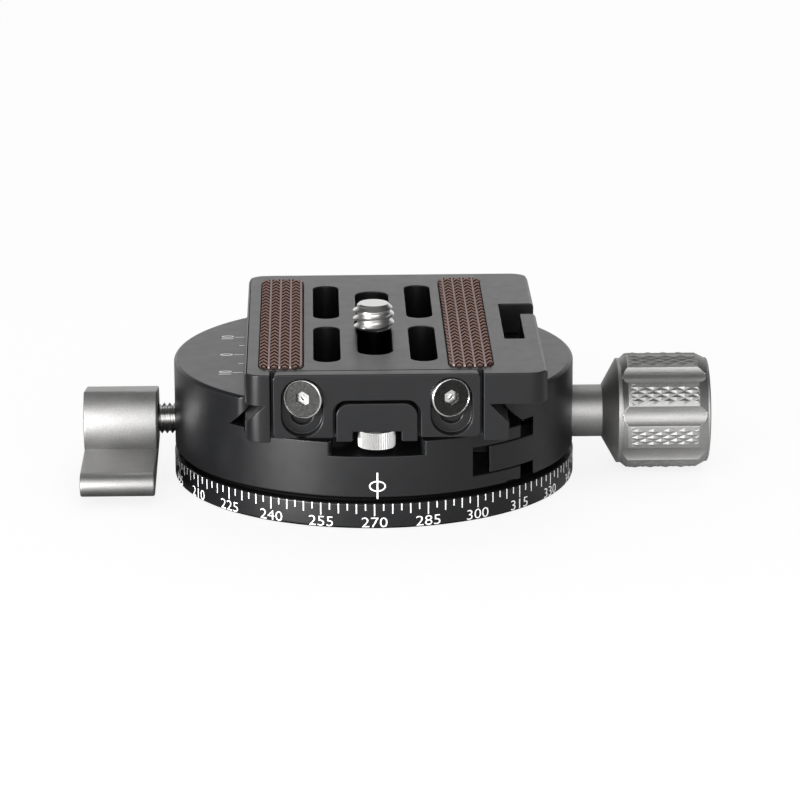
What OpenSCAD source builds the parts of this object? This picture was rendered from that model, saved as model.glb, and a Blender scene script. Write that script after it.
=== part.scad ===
// Panning clamp with a quick-release plate held in its dovetail jaws.
// The origin is the centre of the base's underside. +X points to the moving
// jaw and its knob, +Y along the dovetail to the rear, +Z up.

/* [Scale base] */
// How far the base disc, with its degree scale, stands out past the body
disc_rim = 0.1; // [-0.6:0.1:2]
// Height of the base disc
base_h = 3.9; // [3.2:0.1:5]
// Chamfer on the edges of the base disc
base_edge = 0.3; // [0.1:0.05:0.6]
// Radius of the 3/8"-16 thread, as its tapping bore
tripod_bore_r = 3.97; // [3.8:0.01:4.2]
// Outer radius of the steel thread insert
insert_r = 6.3; // [6:0.05:6.4]
// Length of the steel thread insert
insert_l = 8.2; // [6:0.1:9]
// Number of countersunk screws that hold the hub to the base
hub_screw_count = 4; // [3:1:4]
// Radius of those screws' shanks
hub_screw_r = 1.25; // [1:0.05:1.3]
// Radius of the circle that those screws stand on
hub_screw_ring_r = 8.95; // [8.9:0.05:9]
// Length of those screws
hub_screw_l = 9; // [7:0.5:10]

/* [Pan bearing] */
// Height of the gap between the base disc and the clamp body
seam_h = 0.6; // [0.4:0.05:1]
// Radius of the hub's spigot
spigot_r = 11.5; // [11.3:0.1:11.7]
// Radius of the hub's flange, which holds the clamp body down
hub_flange_r = 13.4; // [13:0.1:13.6]
// Thickness of the hub's flange
hub_flange_h = 1.3; // [1:0.1:1.5]
// Thickness of the washer under the flange
upper_washer_h = 0.3; // [0.2:0.05:0.4]
// How far the lower washer stays inside the seam
washer_inset = 1.6; // [1:0.1:4]
// Depth of the brake groove in the spigot
brake_groove = 0.6; // [0.4:0.1:0.7]

/* [Clamp body] */
// Radius of the clamp body
body_r = 30.6; // [29.5:0.1:32]
// Height of the clamp body from the seam to the dovetail's floor
floor_h = 8.7; // [8.6:0.1:10]
// Height of the jaws above the floor
jaw_h = 5.25; // [5:0.05:5.4]
// Chamfer on the outer edges of the body and the jaws
body_edge = 0.4; // [0.2:0.05:0.8]
// How far each jaw's lip reaches over the dovetail
lip_reach = 1.8; // [1.2:0.1:2.2]
// Height of the jaws' undercut bottoms above the floor
notch_h = 0.6; // [0.3:0.1:1]
// Radius of the rounded ends of the jaws' lips, seen from above
lip_corner_r = 1.8; // [1:0.1:2.4]
// Thickness of the floor plate over the slots for the moving jaw's tongues
floor_plate_h = 2; // [1.6:0.1:2.4]
// Thickness of the plate below those slots
lower_plate_h = 2.4; // [2:0.1:2.6]
// Width of the grooves for the safety screws' heads
groove_w = 13.4; // [11:0.1:15]
// Depth of the grooves
groove_d = 2.1; // [1.9:0.05:2.2]
// Distance from the centre to the inner wall of each groove
groove_wall_y = 17; // [16:0.5:19]
// Rounding of the grooves' outer vertical edges
groove_flare = 0.8; // [0.3:0.1:1.2]

/* [Moving jaw] */
// Where the fixed plates end, from the centre
fixed_end_x = 21.5; // [20.8:0.1:22]
// Gap between the fixed plates' ends and the moving jaw's wall
closing_gap = 1.97; // [1.5:0.01:2.5]
// Inner end of the tongues' slots, from the centre
slot_end_x = 14.2; // [13.8:0.1:14.8]
// Gap left at the tongues' tips
tip_gap = 2.5; // [2.1:0.1:2.9]
// Distance from the middle to the tongues' inner sides
tongue_in_y = 15; // [14:0.1:17]
// Distance of the guide pins from the middle
pin_y = 10.5; // [10.3:0.1:11]
// Radius of the guide pins
pin_r = 1.5; // [1.2:0.05:1.6]
// Length of the guide pins
pin_l = 12.6; // [11.5:0.1:13]
// Distance of the spring plungers from the middle
plunger_y = 6.4; // [6.2:0.1:6.6]
// Radius of the spring plungers' barrels
plunger_r = 1.5; // [1.2:0.05:1.6]

/* [Clamp knob] */
// Height of the draw screw above the seam
draw_rise = 4.55; // [4.5:0.05:5]
// Radius of the draw screw, M6
draw_r = 2.95; // [2.4:0.05:3]
// Radius of the knob's neck
neck_r = 4; // [3.6:0.1:4.3]
// Length of the neck that stands free of the jaw
neck_l = 4.45; // [3:0.05:6]
// Length of the knob's cone
cone_l = 2.3; // [2:0.1:4]
// Radius at the end of the cone
cone_r = 8.05; // [7:0.05:8.5]
// Radius of the knob's grip
grip_r = 9; // [8.7:0.05:9.05]
// Length of the grip between its chamfers
grip_l = 10.6; // [8:0.1:14]
// Length of the chamfer at the cone's end
grip_in = 1.5; // [0.6:0.1:2]
// Length of the chamfer at the free end
grip_out = 1.55; // [0.6:0.05:2]
// Drop of that chamfer
grip_drop = 1; // [0.6:0.1:2]
// Length of the knob's end past that chamfer
end_l = 0.45; // [0.3:0.05:1.2]
// Number of flutes in the grip
flute_count = 8; // [6:1:10]
// Radius of each flute's cutter
flute_r = 2.4; // [2:0.1:3]
// Depth of each flute
flute_d = 0.9; // [0.5:0.05:1.2]
// Angle of the first flute above the front
flute_start = 9; // [0:1:44]

/* [Lock lever] */
// Height of the lock stud above the seam
stud_rise = 4.05; // [3.9:0.05:4.3]
// Radius of the stud, M5
stud_r = 2.4; // [2.1:0.05:2.5]
// Radius of the brake shoe
shoe_r = 2; // [1.6:0.05:2.05]
// Distance from the body to the lever
lever_gap = 2.6; // [1.5:0.05:5]
// Width of the lever along the stud
lever_w = 11.2; // [8:0.05:14]
// Radius of the lever round the stud
lever_hub_r = 6.2; // [5:0.1:6.5]
// Distance of the lever's flat top from the stud's axis
lever_flat = 4.6; // [3.5:0.1:5]
// Tilt of the flat top, down to the rear
lever_tilt = 10.4; // [0:0.2:15]
// Radius of the lever's tip
lever_tip_r = 1.85; // [1.5:0.05:2.4]
// Distance from the stud to the tip's centre, towards the front
lever_reach = 17.6; // [12:0.1:20]
// Depth of the tip's centre below the stud
lever_drop = 5.2; // [4.8:0.05:6.1]
// Slope of the lever's underside, down to the front
lever_lean = 6.6; // [4:0.2:10]

/* [Quick-release plate] */
// Length of the plate along the dovetail
plate_l = 60; // [58:0.5:61]
// Height of the whole plate
plate_h = 10.25; // [10:0.05:11.5]
// Half width of the dovetail at its base, which is also the left edge
dovetail_half = 19.4; // [19:0.05:19.8]
// How far the slab overhangs the dovetail on the right
overhang = 5.75; // [5.5:0.05:7]
// Height from the plate's base to the slab's underside
slab_rise = 5.5; // [5.45:0.05:5.7]
// How far the 45 degree flanks run in under the slab
flank = 2.75; // [2.4:0.05:3]
// Radius of the plate's vertical corners
plate_corner_r = 2.75; // [1:0.05:4]
// Chamfer on the plate's long edges
plate_edge = 0.4; // [0.2:0.05:0.6]
// Width of the four screw slots
slot_w = 4; // [3:0.1:4]
// Length of the four screw slots
slot_l = 20.3; // [16:0.1:20.5]
// Distance of the screw slots from the middle line
slot_x = 7.2; // [7:0.1:7.4]
// Distance of the screw slots' centres from the cross line
slot_y = 12.6; // [12:0.1:13]
// Width of the centre slot for the camera screw
centre_w = 5.2; // [5:0.05:5.5]
// Length of the centre slot
centre_l = 38; // [30:0.5:42]
// Half width of the hollow under the plate
hollow_half = 10.5; // [9.6:0.1:11]
// Half length of the hollow under the plate
hollow_half_l = 23; // [22.9:0.1:23.1]
// Depth of the hollow under the plate
hollow_d = 3.7; // [3.5:0.1:4]
// Radius of the tapped hole through which the camera screw enters
entry_r = 2.95; // [2.75:0.05:3.05]
// Width of the strap slot
strap_w = 3.05; // [2.5:0.05:3.2]
// Length of the strap slot
strap_l = 20.9; // [16:0.1:24]
// Width of the strap slot's mouth
strap_mouth = 6.2; // [4.5:0.1:8]

/* [Grip pads] */
// Width of each pad
pad_w = 6.5; // [5:0.1:6.8]
// Distance of the pads' centres from the middle line
pad_x = 14; // [13.9:0.1:14.5]
// Gap between the pads' ends and the flange's seat
pad_end_gap = 1.1; // [0.2:0.1:3]
// Depth of the pads' seats
pad_seat = 0.5; // [0.3:0.1:0.8]
// How far the pads stand proud
pad_proud = 0.35; // [0.2:0.05:0.6]
// Radius of the pads' corners
pad_corner_r = 1.6; // [0.5:0.1:2.4]

/* [Anti-twist flange] */
// Half width of the flange
flange_half = 15.2; // [14.5:0.1:15.6]
// Thickness of the flange
flange_t = 2.35; // [2:0.05:2.8]
// Height of the flange's foot above the plate's base
flange_foot = 0.6; // [0.4:0.1:1]
// How far the flange slides up
flange_travel = 2.7; // [2:0.1:2.8]
// Slit round the flange
flange_slit = 0.42; // [0.2:0.02:0.6]
// Half width of the arch in the flange
arch_half = 6.4; // [6:0.1:6.6]
// Distance from the flange's top to the arch's top
arch_drop = 4; // [3.5:0.1:4.6]
// Radius of the arch's corners
arch_r = 2; // [1:0.1:2.6]
// Distance of the flange's screws from the middle line
flange_screw_x = 10.95; // [10.4:0.05:11]
// Depth of the flange's screws below the plate's top
flange_screw_drop = 3.65; // [3.3:0.05:3.8]
// Radius of those screws' heads
button_r = 2.95; // [2.5:0.05:3]
// Thickness of those screws' heads
button_h = 1.4; // [1.1:0.05:1.5]

/* [Safety screws] */
// Distance from the plate's ends to the safety screws
safety_inset = 2.8; // [2.7:0.05:3.2]
// Radius of the safety screws' heads
cap_r = 2.8; // [2.6:0.05:2.9]
// Height of the safety screws' heads
cap_h = 3; // [2.4:0.1:3]
// How far the heads stand below the plate
cap_drop = 1.5; // [1.2:0.1:1.6]
// Radius of the M3 screws' shanks
m3_r = 1.5; // [1.2:0.05:1.5]

/* [Camera screw] */
// Radius of the 1/4"-20 thread
camera_r = 3.15; // [3.1:0.01:3.18]
// Length of the thread above the plate
camera_l = 3.85; // [3:0.05:5.5]
// Place of the screw along the centre slot
camera_y = -3; // [-12:0.5:12]
// Radius of the screw's neck
camera_neck_r = 2.45; // [2.2:0.05:2.45]
// Radius of the screw's head
camera_head_r = 5.5; // [4.5:0.1:6.5]
// Thickness of the screw's head
camera_head_h = 2.7; // [2:0.1:2.7]

/* [Hidden] */

$fn = 96;

// Clearances
fit = 0.05;
snug = 0.02;
slide_gap = 0.08;
turn_gap = 0.3;
washer_gap = 0.1;
jaw_lift = 0.1;
screw_sink = 0.1;
past = 1;

// Radius of the base disc
base_r = body_r + disc_rim;

// Levels, from the base's underside up
seam_z = base_h + seam_h;
floor_z = seam_z + floor_h;
jaw_top_z = floor_z + jaw_h;
plate_top_z = floor_z + plate_h;
slab_z = floor_z + slab_rise;
hub_sink = 0.3;
hub_top_z = floor_z - hub_sink;
hub_flange_z = hub_top_z - hub_flange_h;
ledge_z = hub_flange_z - upper_washer_h;
stud_z = seam_z + stud_rise;
draw_z = seam_z + draw_rise;

// The jaws' lips follow the dovetail's flanks at 45 degrees
flank_sum = dovetail_half - flank + slab_z;
lip_line = flank_sum + 2 * slide_gap;
lip_x = dovetail_half - lip_reach;
lip_z = lip_line - lip_x;
notch_z = floor_z + notch_h;
notch_x = lip_line - notch_z;
ledge_x = dovetail_half + 2 * slide_gap;
wall_x = fixed_end_x + closing_gap;
tongue_x = slot_end_x + tip_gap;
slot_low_z = seam_z + lower_plate_h;
slot_high_z = floor_z - floor_plate_h;
jaw_low_z = seam_z + jaw_lift;

// Knob and draw screw, along X
washer_t = 0.6;
washer_seat_d = 1.4;
washer_rim = 0.4;
draw_end_gap = 1.4;
draw_bore_gap = 0.6;
draw_in_grip = 2;
pin_in_jaw = 3.8;
pin_bore_gap = 2.2;
plunger_l = 6;
plunger_tip_r = 0.9;
washer_seat_x = body_r - washer_seat_d;
neck_x = washer_seat_x + washer_t + snug;
cone_x = body_r + neck_l;
grip_x = cone_x + cone_l + grip_in;
grip_end_x = grip_x + grip_l;
knob_end_x = grip_end_x + grip_out + end_l;
knob_edge = 0.2;
knob_washer_r = neck_r + washer_rim;
draw_end_x = hub_flange_r + draw_end_gap;
draw_head_x = grip_x + draw_in_grip;
draw_bore_x = draw_end_x - draw_bore_gap;
pin_end_x = wall_x + pin_in_jaw;
pin_bore_x = pin_end_x - pin_l - pin_bore_gap;
plunger_x = fixed_end_x - plunger_l;

// Lever, stud and shoe, along -X
shoe_tip_x = -(spigot_r - brake_groove + fit);
shoe_l = 4.9;
shoe_end_x = shoe_tip_x - shoe_l;
lever_x = -(body_r + lever_gap);
stud_seat = 7.4;
arm_top = lever_tip_r - lever_drop - snug;
lever_under = lever_tip_r + lever_drop * cos(lever_lean) - lever_reach * sin(lever_lean);

// Plate
strap_inset = 0.25;
strap_corner_r = 0.5;
hollow_corner_r = 3;
flange_corner_r = 0.8;
head_slot_gap = 0.08;
shank_slot_gap = 0.1;
button_edge = 0.2;
button_thread_l = 2.9;
cap_gap = 0.8;
cap_edge = 0.3;
safety_cover = 0.5;
plate_right_x = dovetail_half + overhang;
plate_end_y = plate_l / 2;
seat_y = plate_end_y - flange_t - fit;
seat_half = flange_half + flange_slit;
boss_half = arch_half - flange_slit;
arch_top_z = plate_top_z - arch_drop;
flange_low_z = floor_z + flange_foot;
flange_screw_z = plate_top_z - flange_screw_drop;
hollow_z = floor_z + hollow_d;
pad_half_l = seat_y - pad_end_gap;
pad_low_z = plate_top_z - pad_seat;
safety_y = plate_end_y - safety_inset;
safety_top_z = floor_z + cap_h - cap_drop;
safety_hole_z = arch_top_z - flange_slit - safety_cover;
button_l = button_h + flange_t + button_thread_l;
strap_x = dovetail_half + strap_inset;
strap_y = strap_l / 2;

// Camera screw
camera_head_z = hollow_z - turn_gap - camera_head_h;
camera_head_edge = 0.4;
camera_tip = 0.6;
coin_slot_w = 1.2;
coin_slot_d = 1;
screw_washer_t = 0.2;

// Hexagon sockets, across their flats and deep
hub_socket = [1.5, 0.8];
button_socket = [2, 0.9];
cap_socket = [2.5, 1.5];
camera_socket = [4, 1.8];

// Countersunk head's radius for each of its shank's
head_ratio = 1.9;

anodised = [0.2, 0.2, 0.21];
titanium = [0.42, 0.42, 0.44];
steel = [0.75, 0.75, 0.76];
bronze = [0.6, 0.45, 0.25];
polymer = [0.08, 0.08, 0.08];
cork = [0.45, 0.31, 0.26];

// A rod from x0 to x1 at a place in Y and Z
module rod_x(x0, x1, y, z, r)
    translate([x0, y, z]) rotate([0, 90, 0]) cylinder(r = r, h = x1 - x0);

// A rod from y0 to y1 at a place in X and Z
module rod_y(y0, y1, x, z, r)
    translate([x, y0, z]) rotate([-90, 0, 0]) cylinder(r = r, h = y1 - y0);

// A section drawn in X and Z, run along Y to both sides
module run_y(half)
    translate([0, half, 0]) rotate([90, 0, 0]) linear_extrude(2 * half) children();

// A rectangle with round corners
module round_rect(x0, x1, y0, y1, r) {
    translate([x0 + r, y0]) square([x1 - x0 - 2 * r, y1 - y0]);
    translate([x0, y0 + r]) square([x1 - x0, y1 - y0 - 2 * r]);
    for (x = [x0 + r, x1 - r], y = [y0 + r, y1 - r])
        translate([x, y]) circle(r);
}

// A slot with round ends, its long side along Y
module slot_y_2d(x, y, w, l) {
    translate([x - w / 2, y - l / 2 + w / 2]) square([w, l - w]);
    for (end = [-1, 1])
        translate([x, y + end * (l - w) / 2]) circle(w / 2);
}

// The turned outside of the body and the jaws
module turned_blank(low) {
    rotate_extrude() polygon([
        [0, low], [body_r - body_edge, low], [body_r, low + body_edge],
        [body_r, jaw_top_z - body_edge], [body_r - body_edge, jaw_top_z], [0, jaw_top_z]
    ]);
}

// What comes off a lip's sharp end to leave a round one
module lip_end_cut(x_side, y_side) {
    cx = lip_x + lip_corner_r;
    cy = sqrt(pow(body_r - lip_corner_r, 2) - cx * cx);
    out = (body_r + past) / (body_r - lip_corner_r);
    translate([0, 0, notch_z])
        linear_extrude(jaw_h + past)
            scale([x_side, y_side])
                difference() {
                    polygon([
                        [cx, cy], [cx * out, cy * out], [cx * out, body_r + past],
                        [lip_x - past, body_r + past], [lip_x - past, cy]
                    ]);
                    translate([cx, cy]) circle(lip_corner_r);
                }
}

// A hexagon socket cut along Z
module hex_socket(size)
    translate([0, 0, -past]) cylinder(r = size[0] / sqrt(3), h = size[1] + past, $fn = 6);

module countersunk_screw() {
    head_r = head_ratio * hub_screw_r;
    head_h = head_r - hub_screw_r;
    difference() {
        union() {
            translate([0, 0, screw_sink]) cylinder(r1 = head_r, r2 = hub_screw_r, h = head_h);
            translate([0, 0, screw_sink]) cylinder(r = hub_screw_r, h = hub_screw_l - screw_sink);
        }
        translate([0, 0, screw_sink]) hex_socket(hub_socket);
    }
}

module countersunk_hole() {
    head_r = head_ratio * hub_screw_r + fit;
    head_h = head_r - hub_screw_r - snug;
    translate([0, 0, screw_sink]) cylinder(r1 = head_r, r2 = hub_screw_r + snug, h = head_h);
    translate([0, 0, -past]) cylinder(r = head_r, h = past + screw_sink);
    cylinder(r = hub_screw_r + snug, h = hub_screw_l + 2 * screw_sink);
}

module at_hub_screws()
    for (i = [0 : hub_screw_count - 1])
        rotate(45 + i * 360 / hub_screw_count)
            translate([hub_screw_ring_r, 0, 0]) children();

module base_disc() color(anodised)
    difference() {
        rotate_extrude() polygon([
            [insert_r + snug, 0], [base_r - base_edge, 0], [base_r, base_edge],
            [base_r, base_h - base_edge / 3], [base_r - base_edge / 3, base_h],
            [insert_r + snug, base_h]
        ]);
        at_hub_screws() countersunk_hole();
    }

module thread_insert() color(steel)
    rotate_extrude() polygon([
        [tripod_bore_r, 0], [insert_r - base_edge, 0], [insert_r, base_edge], [insert_r, insert_l],
        [tripod_bore_r, insert_l]
    ]);

module hub() color(steel)
    difference() {
        union() {
            translate([0, 0, base_h]) cylinder(r = spigot_r, h = hub_flange_z - base_h + snug);
            translate([0, 0, hub_flange_z]) cylinder(r = hub_flange_r, h = hub_flange_h);
        }
        hub_cuts();
    }

module hub_cuts() {
    translate([0, 0, base_h - past]) cylinder(r = insert_r + snug, h = insert_l - base_h + past);
    translate([0, 0, base_h]) cylinder(r = tripod_bore_r + turn_gap, h = floor_z);
    rotate_extrude() polygon([
        [spigot_r - brake_groove, stud_z - shoe_r - turn_gap],
        [spigot_r + past, stud_z - shoe_r - turn_gap],
        [spigot_r + past, stud_z + shoe_r + turn_gap],
        [spigot_r - brake_groove, stud_z + shoe_r + turn_gap]
    ]);
    at_hub_screws() countersunk_hole();
}

module hub_screws() color(steel)
    at_hub_screws() countersunk_screw();

module lower_washer() color(polymer)
    translate([0, 0, base_h])
        difference() {
            cylinder(r = base_r - washer_inset, h = seam_h);
            translate([0, 0, -past]) cylinder(r = spigot_r + turn_gap, h = seam_h + 2 * past);
        }

module upper_washer() color(bronze)
    translate([0, 0, ledge_z])
        difference() {
            cylinder(r = hub_flange_r - 2 * washer_gap, h = upper_washer_h);
            translate([0, 0, -past]) cylinder(r = spigot_r + washer_gap, h = upper_washer_h + 2 * past);
        }

// The dovetail channel: what is above the floor inside the left lip and its ledge
module channel_cut()
    run_y(body_r + past)
        polygon([
            [-lip_x, jaw_top_z + past], [-lip_x, lip_z], [-notch_x, notch_z],
            [-ledge_x, notch_z], [-ledge_x, floor_z],
            [body_r + past, floor_z], [body_r + past, jaw_top_z + past]
        ]);

module tongue_slots()
    for (side = [-1, 1])
        translate([slot_end_x, side > 0 ? tongue_in_y - slide_gap : -body_r - past, slot_low_z])
            cube([body_r, body_r + past - tongue_in_y + slide_gap, slot_high_z - slot_low_z]);

// A safety screw's groove, with its outer edges eased
module safety_grooves() {
    half = groove_w / 2;
    edge_y = sqrt(body_r * body_r - half * half);
    wide = half + groove_flare;
    for (side = [-1, 1])
        translate([0, 0, floor_z - groove_d])
            linear_extrude(groove_d + past)
                scale([1, side])
                    polygon([
                        [-half, groove_wall_y], [half, groove_wall_y],
                        [half, edge_y - groove_flare], [wide, edge_y + groove_flare / 2],
                        [wide, body_r + past], [-wide, body_r + past],
                        [-wide, edge_y + groove_flare / 2], [-half, edge_y - groove_flare]
                    ]);
}

module clamp_body() color(anodised)
    difference() {
        turned_blank(seam_z);
        channel_cut();
        translate([fixed_end_x, -body_r - past, seam_z - past])
            cube([body_r, 2 * body_r + 2 * past, floor_h + 2 * past]);
        tongue_slots();
        safety_grooves();
        lip_end_cut(-1, -1);
        lip_end_cut(-1, 1);
        translate([0, 0, seam_z - past]) cylinder(r = spigot_r + fit, h = floor_h + 2 * past);
        translate([0, 0, ledge_z]) cylinder(r = hub_flange_r + fit, h = floor_h);
        rod_x(-body_r - past, shoe_end_x + turn_gap, 0, stud_z, stud_r + fit);
        rod_x(shoe_end_x, 0, 0, stud_z, shoe_r + fit);
        rod_x(draw_bore_x, body_r, 0, draw_z, draw_r + fit);
        for (side = [-1, 1]) {
            rod_x(pin_bore_x, body_r, side * pin_y, draw_z, pin_r + fit);
            rod_x(plunger_x, body_r, side * plunger_y, draw_z, plunger_r + snug);
        }
    }

module spring_plungers() color(steel)
    for (side = [-1, 1]) {
        rod_x(plunger_x, fixed_end_x, side * plunger_y, draw_z, plunger_r);
        rod_x(fixed_end_x - past, wall_x - snug, side * plunger_y, draw_z, plunger_tip_r);
    }

module jaw_section()
    polygon([
        [lip_x, jaw_top_z + past], [lip_x, lip_z], [notch_x, notch_z], [wall_x, notch_z],
        [wall_x, jaw_low_z - past], [body_r + past, jaw_low_z - past],
        [body_r + past, jaw_top_z + past]
    ]);

module tongues()
    intersection() {
        translate([0, 0, slot_low_z + slide_gap])
            cylinder(r = body_r, h = slot_high_z - slot_low_z - 2 * slide_gap);
        for (side = [-1, 1])
            translate([tongue_x, side > 0 ? tongue_in_y : -body_r, seam_z])
                cube([wall_x - tongue_x + past, body_r - tongue_in_y, floor_h]);
    }

module moving_jaw() color(anodised)
    difference() {
        union() {
            intersection() {
                turned_blank(jaw_low_z);
                run_y(body_r + past) jaw_section();
            }
            tongues();
        }
        lip_end_cut(1, -1);
        lip_end_cut(1, 1);
        rod_x(wall_x - past, body_r + past, 0, draw_z, draw_r + fit);
        rod_x(washer_seat_x, body_r + past, 0, draw_z, knob_washer_r + fit);
        for (side = [-1, 1])
            rod_x(wall_x - past, pin_end_x + snug, side * pin_y, draw_z, pin_r + snug);
    }

module guide_pins() color(steel)
    for (side = [-1, 1])
        rod_x(pin_end_x - pin_l, pin_end_x, side * pin_y, draw_z, pin_r);

module knob_washer() color(bronze)
    difference() {
        rod_x(washer_seat_x, washer_seat_x + washer_t, 0, draw_z, knob_washer_r);
        rod_x(washer_seat_x - past, neck_x + past, 0, draw_z, draw_r + washer_gap);
    }

// Drawn with the knob's axis along Z and its inner face at zero
module knob_turned() {
    outer_r = grip_r - grip_drop;
    rotate_extrude() polygon([
        [0, 0], [neck_r, 0], [neck_r, cone_x - neck_x], [cone_r, cone_x + cone_l - neck_x],
        [grip_r, grip_x - neck_x], [grip_r, grip_end_x - neck_x],
        [outer_r, grip_end_x + grip_out - neck_x], [outer_r, knob_end_x - knob_edge - neck_x],
        [outer_r - knob_edge, knob_end_x - neck_x], [0, knob_end_x - neck_x]
    ]);
}

module clamp_knob() color(titanium)
    translate([neck_x, 0, draw_z]) rotate([0, 90, 0])
        difference() {
            knob_turned();
            for (i = [0 : flute_count - 1])
                rotate(-90 - flute_start + i * 360 / flute_count)
                    translate([grip_r - flute_d + flute_r, 0, cone_x + cone_l - neck_x - 2 * past])
                        cylinder(r = flute_r, h = grip_l + 4 * past + grip_in + grip_out, $fn = 64);
            translate([0, 0, -past]) cylinder(r = draw_r + snug, h = draw_head_x - neck_x + past + snug);
        }

module draw_screw() color(steel)
    rod_x(draw_end_x, draw_head_x, 0, draw_z, draw_r);

module brake_shoe() color(bronze)
    rod_x(shoe_end_x, shoe_tip_x, 0, stud_z, shoe_r);

// The lever seen along the stud: a hub with a tilted top and a straight underside,
// a round tip, and an arm whose sides run a hair inside the rest, so that they
// cross cleanly
module lever_outline() {
    tip = [-lever_reach, -lever_drop];
    down = [sin(lever_lean), -cos(lever_lean)];
    difference() {
        union() {
            circle(lever_hub_r);
            translate(tip) circle(lever_tip_r);
            polygon([
                [0, 0], [0, arm_top], [-lever_reach, arm_top], tip,
                tip + (lever_tip_r - snug) * down, (lever_under - snug) * down
            ]);
        }
        rotate(-lever_tilt)
            translate([-lever_hub_r - past, lever_flat])
                square([2 * (lever_hub_r + past), lever_hub_r]);
        rotate(lever_lean)
            translate([-lever_hub_r, -lever_under - lever_hub_r])
                square([2 * lever_hub_r + past, lever_hub_r]);
    }
}

module lock_lever() color(titanium)
    difference() {
        translate([lever_x - lever_w, 0, stud_z])
            rotate([90, 0, 90]) linear_extrude(lever_w) lever_outline();
        rod_x(lever_x - stud_seat - snug, lever_x + past, 0, stud_z, stud_r + snug);
    }

module lock_stud() color(steel)
    rod_x(lever_x - stud_seat, shoe_end_x, 0, stud_z, stud_r);

module plate_section()
    polygon([
        [-dovetail_half + plate_edge, floor_z], [-dovetail_half, floor_z + plate_edge],
        [-dovetail_half, slab_z - flank], [-dovetail_half + flank, slab_z],
        [-dovetail_half, slab_z], [-dovetail_half, plate_top_z - plate_edge],
        [-dovetail_half + plate_edge, plate_top_z], [plate_right_x - plate_edge, plate_top_z],
        [plate_right_x, plate_top_z - plate_edge], [plate_right_x, slab_z],
        [dovetail_half - flank, slab_z], [dovetail_half, slab_z - flank],
        [dovetail_half, floor_z + plate_edge], [dovetail_half - plate_edge, floor_z]
    ]);

// The seat of the flange in the plate's front, round the boss in its arch
module flange_seat()
    translate([0, -seat_y, 0]) rotate([90, 0, 0])
        linear_extrude(plate_l)
            difference() {
                translate([-seat_half, floor_z - past]) square([2 * seat_half, plate_h + 2 * past]);
                round_rect(-boss_half, boss_half, floor_z - 3 * arch_r, arch_top_z - flange_slit, arch_r);
            }

module strap_slot()
    translate([0, 0, slab_z - past])
        linear_extrude(plate_h) {
            round_rect(strap_x, strap_x + strap_w, -strap_y, strap_y, strap_corner_r);
            translate([strap_x + strap_w / 2, strap_y - strap_mouth])
                square([plate_right_x - strap_x, strap_mouth]);
        }

module plate_slots()
    translate([0, 0, floor_z - past])
        linear_extrude(plate_h + 2 * past) {
            for (x = [-slot_x, slot_x], y = [-slot_y, slot_y])
                slot_y_2d(x, y, slot_w, slot_l);
            slot_y_2d(0, 0, centre_w, centre_l);
            circle(entry_r);
        }

module pad_seats()
    translate([0, 0, pad_low_z])
        linear_extrude(pad_seat + past)
            for (x = [-pad_x, pad_x])
                round_rect(
                    x - pad_w / 2 - snug, x + pad_w / 2 + snug,
                    -pad_half_l - snug, pad_half_l + snug, pad_corner_r
                );

// A safety screw's place: a counterbore open to the plate's end, and its hole
module safety_seat(side) {
    translate([0, side * safety_y, floor_z - past])
        cylinder(r = cap_r + cap_gap, h = safety_top_z - floor_z + past);
    translate([-cap_r - cap_gap, side > 0 ? safety_y : -plate_l, floor_z - past])
        cube([2 * (cap_r + cap_gap), plate_l - safety_y, safety_top_z - floor_z + past]);
    translate([0, side * safety_y, floor_z])
        cylinder(r = m3_r + snug, h = safety_hole_z - floor_z);
}

module plate_body() color(anodised)
    difference() {
        intersection() {
            run_y(plate_end_y) plate_section();
            translate([0, 0, floor_z - past])
                linear_extrude(plate_h + 2 * past)
                    round_rect(
                        -dovetail_half, plate_right_x, -plate_end_y, plate_end_y, plate_corner_r
                    );
        }
        flange_seat();
        strap_slot();
        plate_slots();
        pad_seats();
        safety_seat(-1);
        safety_seat(1);
        translate([0, 0, floor_z - past])
            linear_extrude(hollow_d + past)
                round_rect(
                    -hollow_half, hollow_half, -hollow_half_l, hollow_half_l, hollow_corner_r
                );
        for (side = [-1, 1])
            rod_y(
                -seat_y - past, -plate_end_y + button_l + turn_gap,
                side * flange_screw_x, flange_screw_z, m3_r + snug
            );
    }

module grip_pad(x) color(cork)
    translate([0, 0, pad_low_z])
        linear_extrude(pad_seat + pad_proud)
            round_rect(x - pad_w / 2, x + pad_w / 2, -pad_half_l, pad_half_l, pad_corner_r);

module grip_pad_left() grip_pad(-pad_x);

module grip_pad_right() grip_pad(pad_x);

// A button-head screw that points along +Y, with the head's face at zero
module button_screw()
    difference() {
        union() {
            rotate([-90, 0, 0])
                cylinder(r1 = button_r - button_edge, r2 = button_r, h = button_edge);
            rod_y(button_edge, button_h, 0, 0, button_r);
            rod_y(button_h - snug, button_l, 0, 0, m3_r);
        }
        rotate([-90, 0, 0]) hex_socket(button_socket);
    }

module flange_screws() color(steel)
    for (side = [-1, 1])
        translate([side * flange_screw_x, -plate_end_y, flange_screw_z]) button_screw();

module safety_screws() color(steel)
    for (side = [-1, 1])
        translate([0, side * safety_y, safety_top_z - cap_h])
            difference() {
                union() {
                    cylinder(r1 = cap_r - cap_edge, r2 = cap_r, h = cap_edge);
                    translate([0, 0, cap_edge]) cylinder(r = cap_r, h = cap_h - cap_edge);
                    cylinder(r = m3_r, h = safety_hole_z - turn_gap - safety_top_z + cap_h);
                }
                hex_socket(cap_socket);
            }

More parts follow.
